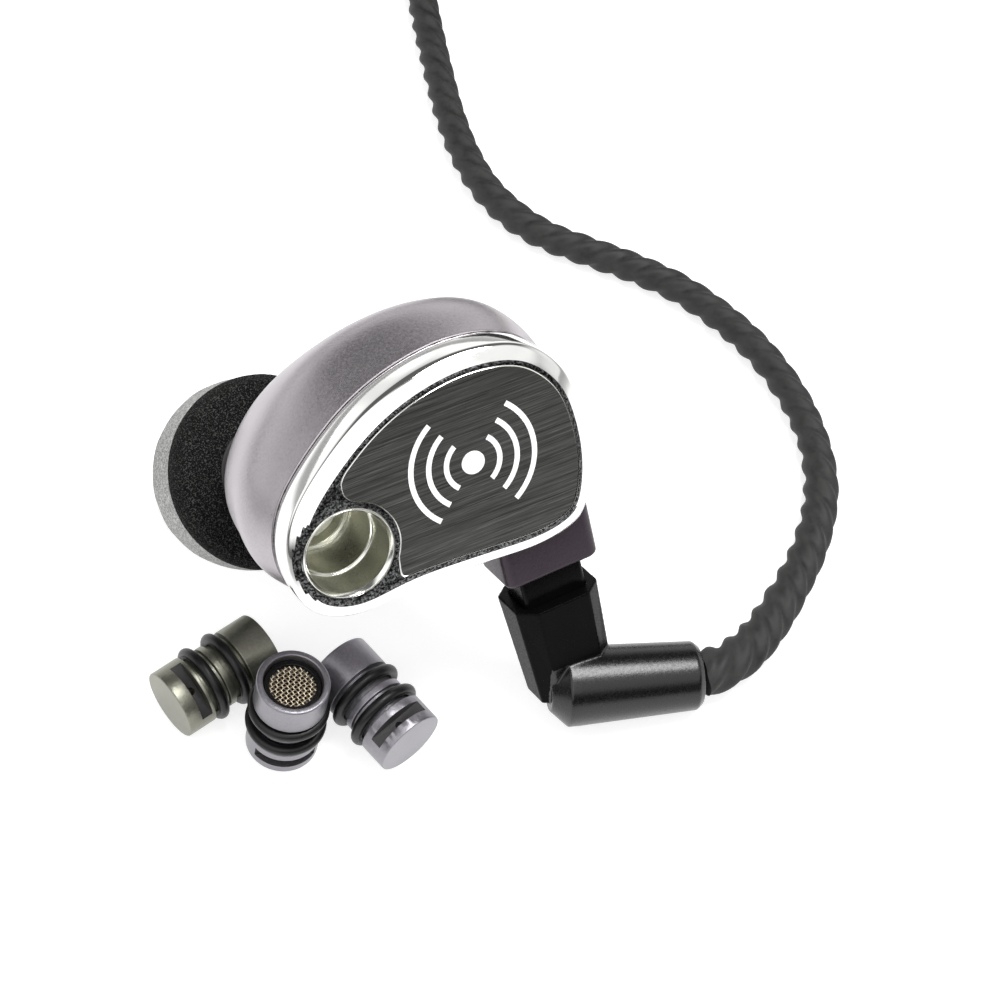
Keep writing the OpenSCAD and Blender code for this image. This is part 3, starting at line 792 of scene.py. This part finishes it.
RIM_POINTS = [
    (-12.3, -3.7), (-11.6, -0.6), (-9.4, 2.2), (-6.3, 4.8), (-2.8, 6.4), (0.9, 7), (4.4, 6.3),
    (6.9, 3.9), (7.9, 0.7), (8, -2.8), (7, -5.8), (4.2, -7), (0, -7.1), (-4.4, -7.2),
    (-8.4, -7.8), (-11.3, -6.6),
]
RIM = evened(evened(closed_curve(RIM_POINTS, 14), 3), 3)
BEZEL_DEPTH, BORDER = 2.9, 1.2
INLAY_THICK = 0.5
INLAY_LEFT, INLAY_TIP, INLAY_LOW = -5.5, -8.65, -4.2     # left edge, cut-off tip, top of the left edge
SOCKET_R, SOCKET_WALL_R = 2.46, 2.9
OPENING_W, OPENING_D = 4.6, 2.8                  # of the hole that the plug's neck goes into


def disc(radius, steps=96, middle=(0, 0)):
    return [Vector((middle[0] + radius * math.cos(math.tau * k / steps),
                    middle[1] + radius * math.sin(math.tau * k / steps))) for k in range(steps)]


def inlay_outline(gap):
    """The plate's outline: the rim's curve, cut back by an arc round the socket, with rounded corners."""
    edge = grown(RIM, -(BORDER + gap))
    arc_r = SOCKET_WALL_R + 0.4 + gap
    middle = Vector(SOCKET_AT)
    left, tip, low = INLAY_LEFT + gap, INLAY_TIP + gap, INLAY_LOW
    kept = [p for p in edge if (p - middle).length > arc_r and p.x > tip and not (p.x < left and p.y < low)]
    start = max(range(len(kept)), key=lambda i: (kept[i] - kept[i - 1]).length)
    kept = (kept[start:] + kept[:start])[::-1]
    a0 = math.atan2(kept[-1].y - middle.y, kept[-1].x - middle.x)
    a1 = math.atan2(low - middle.y, math.sqrt(arc_r ** 2 - (low - middle.y) ** 2))
    angles = [a0 + (a1 - a0) * k / 24 for k in range(1, 25)]
    arc = [middle + arc_r * Vector((math.cos(a), math.sin(a))) for a in angles]
    arc = [p for p in arc if p.x > tip]
    corner = [Vector((left, low - 0.4)), Vector((left, kept[0].y))]
    return smoothed_corners(kept + arc + corner, lambda p: 1.1 if p.x < -7.5 else 0.6)


def smoothed_corners(outline, reach_at):
    """Rounds an outline's corners: each point becomes a mean of those within reach_at of it."""
    step = 0.08
    closed = outline + [outline[0]]
    points = resampled([Vector((p.x, p.y, 0)) for p in closed], step)[:-1]
    n = len(points)
    reaches = [reach_at(p) / step for p in points]
    near = range(-8, 9)           # the reach itself is eased over these neighbours
    result = []
    for i in range(n):
        reach = sum(reaches[(i + k) % n] for k in near) / len(near)
        q, total = Vector((0, 0, 0)), 0.0
        for k in range(-int(reach), int(reach) + 1):
            weight = 1 - abs(k) / (reach + 1)
            q += points[(i + k) % n] * weight
            total += weight
        result.append(Vector((q.x / total, q.y / total)))
    return result[::2]


# Inset and depth of the ring's section: upright band, round edge, slope, and flat land
BEZEL_SECTION = [
    (0.1, BEZEL_DEPTH), (0.02, 2.4), (0, 1.9), (0, 0.95), (0.02, 0.82), (0.065, 0.71), (0.13, 0.625),
    (0.21, 0.555), (0.31, 0.485), (0.45, 0.39), (0.62, 0.275), (0.78, 0.17), (0.9, 0.1), (0.99, 0.05),
    (1.07, 0.015), (1.15, 0),
]


def make_bezel():
    """Polished ring: upright band, slope that is flatter below, flat land, pockets for plate and socket."""
    below = [min(max(1.3 * (b - a).normalized().y, 0), 1) for a, b in zip(RIM, grown(RIM, -1))]
    rings = [[(p.x, p.y, -depth * (1 - (0.5 * low if depth < 1 else 0)))
              for p, low in zip(grown(RIM, -inset), below)] for inset, depth in BEZEL_SECTION]
    bezel = make("bezel_visual", *loft_data(rings), FACE)
    carve(bezel, inlay_outline(-0.03), -INLAY_THICK - 0.02, 2, FACE)
    carve(bezel, grown(RIM, -1.3), -BEZEL_DEPTH - 1, -1.2, FACE)
    carve(bezel, disc(SOCKET_WALL_R + 0.02, middle=SOCKET_AT), -4, 2, FACE)
    carve(bezel, rounded_box(OPENING_W + 0.2, OPENING_D + 0.2, 0.4), -6, 1, PLUG)
    bevel(bezel, 0.035)
    finish_shading(bezel)
    return bezel


def on_land(p, normal):
    """True on the bezel's flat land, and on its slope beside the socket."""
    away = (p.xy - Vector(SOCKET_AT)).length
    beside = SOCKET_WALL_R + 0.05 < away < 3.45 and p.z > -0.45 and normal.z > 0.5
    return beside or (normal.z > 0.8 and p.z > -0.08)


def make_inlay():
    """The plate, with a narrow bright edge."""
    rings = [[(p.x, p.y, z) for p in inlay_outline(inset)]
             for z, inset in ((-INLAY_THICK, 0), (-0.06, 0), (0.0, 0.06))]
    count = min(len(r) for r in rings)
    inlay = make("inlay_plate", *loft_data([even_ring(r, count) for r in rings]), FACE, 20)
    return paint(inlay, FACE, "inlay_brushed", "inlay_edge", lambda p, normal: normal.z < 0.99)


def even_ring(ring, count):
    """The closed ring sampled again at count points, from its first point on."""
    points = [Vector(p) for p in ring] + [Vector(ring[0])]
    step = path_length(points) / count
    return resampled(points, step * 0.99999)[:count]


# The land and the slope beside the socket take the darkened metal: painted dark reflection, over the land's
# real speckle.
bezel = paint(make_bezel(), FACE, "bezel_polished", "bezel_land_painted_reflection", on_land)
show(bezel, "earpiece", "bezel_polished", "bezel")
show(make_inlay(), "earpiece", "inlay_brushed", "faceplate_inlay")


def make_socket():
    """Stepped bore with bright step edges and a port at its end."""
    upper, lower = SOCKET_R + 0.17, SOCKET_R
    points = [(SOCKET_WALL_R, -7.8), (SOCKET_WALL_R, -0.1, 0.05), (SOCKET_WALL_R - 0.06, 0.03, 0.03),
              (upper + 0.16, 0.03, 0.02), (upper, -0.22, 0.05), (upper, -2.66, 0.02),
              (lower + 0.07, -2.7, 0.02), (lower, -2.78, 0.03), (lower, -6.12, 0.02),
              (lower - 0.08, -6.2, 0.02), (2.22, -6.2, 0.02), (2.15, -6.28, 0.02), (2.15, -7.2, 0.1),
              (0.95, -7.2, 0.04), (0.9, -7.8, 0)]
    sleeve = lathe_cut("socket_sleeve", points, SOCKET, sides=160)
    bright = lambda p, normal: p.z > -0.2 or -2.8 < p.z < -2.65 or -6.3 < p.z < -6.1
    return paint(sleeve, SOCKET, "socket_nickel", "socket_rim", bright)


show(make_socket(), "earpiece", "socket_nickel", "module_socket")

# ---- rear shell ----

SHELL_FRONT = 3.1
# depth behind the shell's front, scale of the rim, shift in x, shift in y, roundness
SHELL_SECTIONS = [
    (0, 1, 0, 0, 0), (1.2, 1.02, -0.2, 0.2, 0), (3, 1.05, -0.4, 0.5, 0), (5, 1.02, -0.6, 0.6, 0.1),
    (7, 0.94, -1.3, -0.2, 0.2), (8.8, 0.81, -2.4, -1.1, 0.4), (10.4, 0.66, -3.3, -2, 0.6),
    (11.8, 0.52, -3.9, -2.8, 0.8), (13, 0.41, -4.6, -3.8, 1),
]
RIM_MIDDLE = Vector((-2.1, -0.6))
RIM_RADIUS = 8.4
BOSS_W, BOSS_D, BOSS_LEN = 6.4, 4.4, 5.0
WALL = 0.8


def shell_ring(section, outline):
    depth, scale, dx, dy, roundness = section
    ring = []
    for p in outline:
        v = p - RIM_MIDDLE
        q = RIM_MIDDLE + scale * ((1 - roundness) * v + roundness * RIM_RADIUS * v.normalized())
        ring.append((q.x + dx, q.y + dy, -SHELL_FRONT - depth))
    return ring


def eased_sections(sections, reach):
    """Each section at the mean of its neighbours, the two ends kept."""
    last = len(sections) - 1
    result = []
    for i in range(last + 1):
        near = min(reach, i, last - i)
        total = sum((sections[i + k] for k in range(-near, near + 1)), Vector((0,) * 5))
        result.append(total / (2 * near + 1))
    return result


def make_shell():
    """Hollow shell: from the inner end forward, over the front edge, and back to the rounded end."""
    rings = [shell_ring(s, grown(RIM, -WALL / s[1])) for s in reversed(open_curve(SHELL_SECTIONS[:-2], 4))]
    rings.append([(p.x, p.y, -SHELL_FRONT) for p in grown(RIM, -0.3)])
    outer = eased_sections(open_curve(SHELL_SECTIONS, 8), 5)
    outer[0] = Vector((0.12, *outer[0][1:]))
    rings += [shell_ring(s, grown(RIM, -0.1)) for s in outer]
    depth, scale, dx, dy = outer[-1][:4]
    for k in range(1, 7):
        a = math.pi / 2 * k / 6
        rise = math.sin(a)
        section = (depth + 0.8 * rise, scale * (0.72 + 0.28 * math.cos(a)),
                   dx - 0.35 * rise, dy - 0.45 * rise, 1)
        rings.append(shell_ring(section, grown(RIM, -0.1)))
    return make("shell_visual", *loft_data(rings), FACE, 50)


def make_boss():
    """The block under the faceplate that the plug goes into, open for its contacts."""
    def outline_at(inset):
        return rounded_box(BOSS_W - 2 * inset, BOSS_D - 2 * inset, max(0.7 - inset * 0.6, 0.2), 8)

    boss = make("boss", *loft_data(soft_prism(outline_at, -BOSS_LEN, 0, 0.0001, 0.35, 6)), PLUG, 50)
    carve(boss, grown(RIM, 0.05), -SHELL_FRONT, 1, FACE)
    carve(boss, grown(RIM, -WALL), -12, 0.5 - SHELL_FRONT, FACE)
    carve(boss, rounded_box(OPENING_W, OPENING_D, 0.4), -BOSS_LEN - 1, 1, PLUG)
    finish_shading(boss)
    return boss


shell, boss = make_shell(), make_boss()
shell.data.materials.append(M["shell_anodised"])
# The boss takes the darkened copy of the shell's anodising, a painted dark reflection.
boss.data.materials.append(M["boss_painted_dark_reflection"])
show(join("rear_shell_visual", [shell, boss]), "earpiece", "shell_anodised", "rear_shell")

# ---- nozzle and ear tip ----

NOZZLE_R, NOZZLE_LEN, LIP = 2.4, 9.4, 0.3
TIP_CORE_R = 3.3
REAR_FOAM = 1.6
ROLL_END, ROUND_START = 0.12, 0.45               # shares of the foam's length


def make_nozzle():
    z = NOZZLE_LEN
    points = [(1.6, -0.6), (NOZZLE_R, -0.6), (NOZZLE_R, z - 1.8, 0.05), (NOZZLE_R + LIP, z - 1.4, 0.1),
              (NOZZLE_R + LIP, z - 0.6, 0.15), (NOZZLE_R, z, 0.1), (2, z, 0.03), (2, z - 0.5, 0.02),
              (1.6, z - 0.5, 0.02)]
    return lathe_cut("nozzle_visual", points, NOZZLE)


def make_tip_core():
    top = TIP_LEN - 1.2
    points = [(NOZZLE_R + LIP + 0.05, 0, 0.1), (TIP_CORE_R, 0, 0.1), (TIP_CORE_R, top, 0.2),
              (NOZZLE_R + 0.05, top, 0.1), (NOZZLE_R + 0.05, 6.6, 0.1), (NOZZLE_R + LIP + 0.05, 6.5, 0.1)]
    return lathe_cut("tip_core_visual", points, NOZZLE @ Matrix.Translation((0, 0, TIP_START)))


def foam_r(z):
    """Radius of the foam: a slight roll at its rear, a straight middle, a rounded front."""
    u = z / TIP_LEN
    share = 1.0
    if u < ROLL_END:
        share = 0.93 + 0.07 * math.sin(math.pi / 2 * u / ROLL_END)
    elif u > ROUND_START:
        share = 1 - 0.36 * (1 - math.cos(math.pi / 2 * (u - ROUND_START) / (1 - ROUND_START)))
    return TIP_D / 2 * share


def foam_pad(name, z0, z1, pore, lump, sides, step):
    """A turned foam body whose skin is pitted and slightly uneven, flat where it meets the other pad."""
    rear = z0 == 0
    seam = z1 if rear else z0
    heights = [z0 + (z1 - z0) * k / 40 for k in range(41)]
    outline = [(TIP_CORE_R + 0.02, z0), *((foam_r(z), z) for z in heights), (TIP_CORE_R + 0.02, z1)]
    edge, fillet = (1, 0.35) if rear else (len(outline) - 2, 0.6)
    outline[edge] = (*outline[edge], fillet)
    profile = resampled([Vector((p.x, p.y, 0)) for p in filleted(outline, 6)], step)
    verts, faces = lathe_data([(p.x, p.y) for p in profile], sides)
    moved = []
    for x, y, z in verts:
        r = math.hypot(x, y)
        v = Vector((x, y, z))
        dent = pore * max(0.0, noise.noise(v * 5.5) + 0.35 * noise.noise(v * 11))
        from_cap = z - z0 if rear else z1 - z
        if r < TIP_CORE_R + 0.08:
            moved.append(v)
        elif from_cap < 0.25 and r < foam_r(z) - 0.3:
            rim = min(1.0, (r - TIP_CORE_R) / 0.6)
            moved.append((x, y, z + (1 if rear else -1) * rim * (dent - 0.3 * lump)))
        elif abs(z - seam) < 0.02:
            moved.append(v)
        else:
            k = (r - dent + lump * noise.noise(v * 0.55)) / r
            moved.append((x * k, y * k, z))
    return make(name, moved, faces, NOZZLE @ Matrix.Translation((0, 0, TIP_START)), 80)


show(make_nozzle(), "earpiece", "shell_anodised", "nozzle")
show(make_tip_core(), "ear_tip", "tip_core_rubber", "tip_core")
rear_pad = show(foam_pad("foam_rear_pad", 0, REAR_FOAM, 0.09, 0.05, 420, 0.09),
                "ear_tip", "foam_black", "foam_rear")
front_pad = show(foam_pad("foam_front_pad", REAR_FOAM, TIP_LEN, 0.04, 0.06, 360, 0.11),
                 "ear_tip", "foam_grey", "foam_front")

# ---- plug ----

PLUG_TOP, ELBOW_REACH = 2.1, 9.7
PLUG_W, PLUG_D, PLUG_CHAMFER = 5.8, 4.9, 1.1
NECK_W, NECK_D = 4.3, 2.9
ELBOW = PLUG @ Vector((0, 0, ELBOW_REACH))
BARREL_END = TABLE @ Vector((12.9, -16, 2.4))
BARREL_R, BARREL_END_R, BARREL_HEEL, HEEL_CHAMFER = 2.6, 2.25, 1.7, 1.1
PLUG_TAPER = (0.9, 0.8)           # share of the width and thickness left at the elbow
ELBOW_SHIFT = (0.3, -0.45)        # and how far the section's middle has moved there


def plug_section(w, d, c):
    """A rectangle with chamfered corners."""
    x, y = w / 2, d / 2
    return [Vector(p) for p in ((x - c, y), (-x + c, y), (-x, y - c), (-x, -y + c), (-x + c, -y), (x - c, -y),
                                (x, -y + c), (x, y - c))]


# The barrel's axis lies a little in front of the body's
BARREL_START = ELBOW + FACE.to_3x3() @ Vector((0, 0.3, 0.7))
BARREL_WAY = BARREL_END - BARREL_START
BARREL = Matrix.Translation(BARREL_START) @ BARREL_WAY.to_track_quat("Z", "Y").to_matrix().to_4x4()


def make_plug():
    """Chamfered upper body and tapered barrel, moulded as one."""
    top = plug_section(PLUG_W, PLUG_D, PLUG_CHAMFER)
    ends = [[(p.x * sx + dx, p.y * sy + dy, z) for p in top]
            for z, sx, sy, dx, dy in ((PLUG_TOP, 1, 1, 0, 0), (ELBOW_REACH, *PLUG_TAPER, *ELBOW_SHIFT))]
    body = make("plug_housing_visual", *loft_data(ends), PLUG)
    long = BARREL_WAY.length
    profile = [(0, -BARREL_HEEL), (BARREL_R - HEEL_CHAMFER, -BARREL_HEEL),
               (BARREL_R, HEEL_CHAMFER - BARREL_HEEL), (BARREL_R, 0), (BARREL_END_R, long - 0.4),
               (BARREL_END_R - 0.35, long), (0, long)]
    combine(body, lathe("tool", profile, BARREL, 96), "UNION")
    carve(body, rounded_box(NECK_W + 0.02, NECK_D + 0.02, 0.3), PLUG_TOP - 1, PLUG_TOP + 1.5, PLUG)
    remesh = body.modifiers.new("remesh", "REMESH")
    remesh.mode = "VOXEL"
    remesh.voxel_size = 0.075 * MM
    smooth = body.modifiers.new("smooth", "SMOOTH")
    smooth.factor = 0.5
    smooth.iterations = 5
    apply_modifiers(body)
    body.data.shade_smooth()
    return body


def make_neck():
    outline_at = lambda inset: rounded_box(NECK_W - 2 * inset, NECK_D - 2 * inset, 0.3, 6)
    return make("plug_neck_visual", *loft_data(soft_prism(outline_at, 0.1, 3.5, 0.12, 0.05, 4)), PLUG)


def on_barrel(p, normal):
    return p.z > -BARREL_HEEL - 0.1 and p.xy.length < BARREL_R + 0.05


plug = paint(make_plug(), BARREL, "plug_satin_black", "barrel_moulded", on_barrel)
show(plug, "cable_set", "plug_satin_black", "plug_housing")
show(make_neck(), "cable_set", "insulator_black", "plug_neck")

# ---- vent modules ----

MODULE_D, MODULE_LEN = 4.7, 7.4
CLOSED_LEN, RING_ZONE = 2.0, 3.1                 # the closed end, and the zone of the rings after it
GROOVE_R, RING_D = 1.9, 5.25
SLOT_Z, SLOT_W, SLOT_FLOOR, VENT_Z = 0.65, 0.8, 1.35, 1.0
CAP_DEPTH = 0.8                   # of the recess that holds the mesh and its ring
WEAVE_R, WEAVE_PITCH, WEAVE_RISE, WIRE_R = 1.49, 0.25, 0.045, 0.05
# place, tilt and heading, roll, shift of the vent slot, finish
MODULES = {
    "a": ((-21.2, -18.5, 2.65), (0, 90, 39), -150, 0.3, "module_olive"),
    "b": ((-14.1, -19.7, 0.41), (0, 9.8, -14), -69, 0, "module_violet"),
    "c": ((-5.7, -21.2, 2.36), (0, 82, 132), 171, 0, "module_violet"),
}


def module_body(name, place, shift):
    r, top, ring = MODULE_D / 2, MODULE_LEN, CLOSED_LEN + RING_ZONE
    points = [(0, 0), (r, 0, 0.1), (r, CLOSED_LEN, 0.06), (GROOVE_R, CLOSED_LEN, 0.03),
              (GROOVE_R, CLOSED_LEN + 1.3, 0.03), (2.15, CLOSED_LEN + 1.33, 0.06),
              (2.15, CLOSED_LEN + 1.77, 0.06), (GROOVE_R, CLOSED_LEN + 1.8, 0.03), (GROOVE_R, ring, 0.03),
              (r, ring, 0.06), (r, top, 0.32), (1.93, top, 0.12), (1.85, top - CAP_DEPTH, 0.02),
              (1.2, top - CAP_DEPTH, 0.02), (1.2, 1.8, 0.02), (0.4, 1.8, 0.02), (0.4, VENT_Z, 0), (0, VENT_Z)]
    body = lathe_cut(name, points, place, sides=144, steps=6)
    slot = [Vector(p) for p in ((SLOT_FLOOR, -5), (5, -5), (5, 5), (SLOT_FLOOR, 5))]
    carve(body, slot, SLOT_Z + shift, SLOT_Z + shift + SLOT_W, place)
    vent = place @ Matrix.Translation((0, 0, VENT_Z + shift)) @ turned((0, 90, 0))
    carve(body, disc(0.25, 32), 0.1, 3, vent)
    bevel(body, 0.03)
    finish_shading(body)
    return body


def o_rings(name, place):
    cord_r = (RING_D / 2 - GROOVE_R) / 2
    parts = []
    for z in (CLOSED_LEN + 0.65, CLOSED_LEN + RING_ZONE - 0.65):
        circle = [(GROOVE_R + cord_r + cord_r * math.cos(math.tau * k / 24),
                   z + cord_r * math.sin(math.tau * k / 24)) for k in range(24)]
        parts.append(lathe(f"{name}_{z:.0f}", circle, place, 120, 80))
    return join(name, parts)


def woven_disc(name, place):
    """Plain-woven wire cloth cut to a disc."""
    verts, faces = [], []
    pitch = WEAVE_PITCH
    count = int(WEAVE_R / pitch)
    for across in (0, 1):
        for i in range(-count, count + 1):
            reach = math.sqrt(WEAVE_R ** 2 - (i * pitch) ** 2) - 0.02
            steps = max(4, round(2 * reach / (pitch / 4)))
            line = []
            for k in range(steps + 1):
                y = -reach + 2 * reach * k / steps
                rise = WEAVE_RISE * math.cos(math.pi * (y / pitch + i + across))
                line.append(Vector((i * pitch, y, rise)) if across else Vector((y, i * pitch, rise)))
            v, f = sweep_data(line, lambda n, a, along: WIRE_R, 8)
            faces += [tuple(q + len(verts) for q in face) for face in f]
            verts += v
    return make(name, verts, faces, place, 70)


def make_module(letter, place, shift, tone):
    body = f"vent_module_{letter}"
    name = f"module_{letter}"
    # The vent slot's floor is painted dark: painted shade in the recess.
    in_shaded_slot = lambda p, normal: (0 < p.z - SLOT_Z - shift < SLOT_W and abs(p.x - SLOT_FLOOR) < 0.05
                                 and normal.x > 0.9)
    turned_body = paint(module_body(f"{name}_body_visual", place, shift), place, tone, "slot_floor", in_shaded_slot)
    show(turned_body, body, tone, f"{name}_body")
    show(o_rings(f"{name}_o_rings_visual", place), body, "oring_black", f"{name}_o_rings")
    top = MODULE_LEN - CAP_DEPTH
    ring = [(1.5, top, 0.03), (1.84, top, 0.03), (1.84, top + 0.35, 0.08), (1.5, top + 0.35, 0.08)]
    show(lathe_cut(f"{name}_cap_ring_visual", ring, place), body, "cap_ring_black", f"{name}_cap_ring")
    weave = place @ Matrix.Translation((0, 0, top + 0.16)) @ turned((0, 0, 35))
    show(woven_disc(f"{name}_mesh_visual", weave), body, "mesh_bronze", f"{name}_mesh")


for letter, (at, turn, roll, shift, tone) in MODULES.items():
    make_module(letter, TABLE @ turned(turn, at) @ turned((0, 0, roll)), shift, tone)

# ---- finishes on the CAD nodes that are kept ----

REPLACED = {n for o in bpy.data.objects if "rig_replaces" in o for n in o["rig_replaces"]}
for entry in frame["record"]["subparts"]:
    node = NODES[entry["node"]]
    if entry["node"] not in REPLACED:
        if not node.material_slots:
            node.data.materials.append(None)
        for material_slot in node.material_slots:
            material_slot.material = M[entry["material_slot"]]

# ---- floor, light and world ----


FLOOR_HALF = 1.5                                 # metres
GLOW_MIDDLE, GLOW_FULL, GLOW_END, GLOW = (-0.005, 0.018, 0), 0.055, 0.17, 0.72


def make_floor():
    """White floor with a painted glow round the object, which washes out the shadows on it."""
    corners = [(x * FLOOR_HALF, y * FLOOR_HALF, 0) for x, y in ((-1, -1), (1, -1), (1, 1), (-1, 1))]
    mesh = bpy.data.meshes.new("floor")
    mesh.from_pydata(corners, [], [(0, 1, 2, 3)])
    floor = in_scene("floor", mesh)
    s = Shader("floor_white", (0.5, 0.5, 0.5), 0.0, 0.6)
    s.into("Base Color", s.ramp(s.noise(0.02, 2), 0.2, 0.8, (0.49, 0.49, 0.49), (0.51, 0.51, 0.51)))
    s.set("Specular IOR Level", 0.2)
    # Painted glow: emission round the object that lifts the floor's shadows towards white.
    s.set("Emission Color", (1, 1, 1, 1))
    away = s.node("ShaderNodeVectorMath", {0: s.coordinates, 1: GLOW_MIDDLE}, operation="DISTANCE")
    glow = s.node("ShaderNodeMapRange", {0: away.outputs["Value"], 1: GLOW_FULL, 2: GLOW_END, 3: GLOW, 4: 0},
                  interpolation_type="SMOOTHSTEP")
    s.into("Emission Strength", glow.outputs[0])
    floor.data.materials.append(s.material)


def area(name, place, size, power, target):
    data = bpy.data.lights.new(name, "AREA")
    data.shape = "DISK"
    data.size = size * MM
    data.energy = power
    light = in_scene(name, data)
    light.location = MM * Vector(place)
    light.rotation_euler = (Vector(target) - Vector(place)).to_track_quat("-Z", "Y").to_euler()


def make_world():
    """A dim room with the bright cards of a product set: left, behind, and right of the object."""
    world = bpy.data.worlds.new("studio")
    bpy.context.scene.world = world
    world.use_nodes = True
    tree = world.node_tree
    way = new_node(tree, "ShaderNodeTexCoord").outputs["Generated"]
    total = 0.0
    for middle, inner, outer, radiance in CARDS:
        facing = new_node(tree, "ShaderNodeVectorMath", {0: way, 1: Vector(middle).normalized()},
                          operation="DOT_PRODUCT").outputs["Value"]
        card = new_node(tree, "ShaderNodeMapRange",
                        {0: facing, 1: math.cos(math.radians(outer)), 2: math.cos(math.radians(inner)),
                         3: 0, 4: radiance}, interpolation_type="SMOOTHSTEP")
        total = new_node(tree, "ShaderNodeMath", {0: total, 1: card.outputs[0]}).outputs[0]
    tree.links.new(total, tree.nodes["Background"].inputs["Color"])


# Direction of each card's middle, degrees to its full and to its last light, radiance
CARDS = [
    ((0, 0, 1), 170, 180, 0.12),
    ((-0.95, 0.3, 0.0), 12, 38, 1.1),
    ((0.1, 0.99, 0.0), 12, 38, 1.1),
    ((0.91, 0.42, 0.0), 8, 34, 0.8),
    ((0.77, 0.0, 0.64), 12, 27, 0.9),
    ((-0.57, 0.82, 0.0), 10, 22, 0.8),
    ((-0.41, -0.58, 0.71), 26, 42, 1.4),
    ((0.31, -0.53, 0.79), 15, 29, 1.2),
]
make_floor()
make_world()
area("overhead", (60, 10, 200), 110, 0.42, (5, -10, 0))
bpy.context.scene.view_settings.view_transform = "Standard"
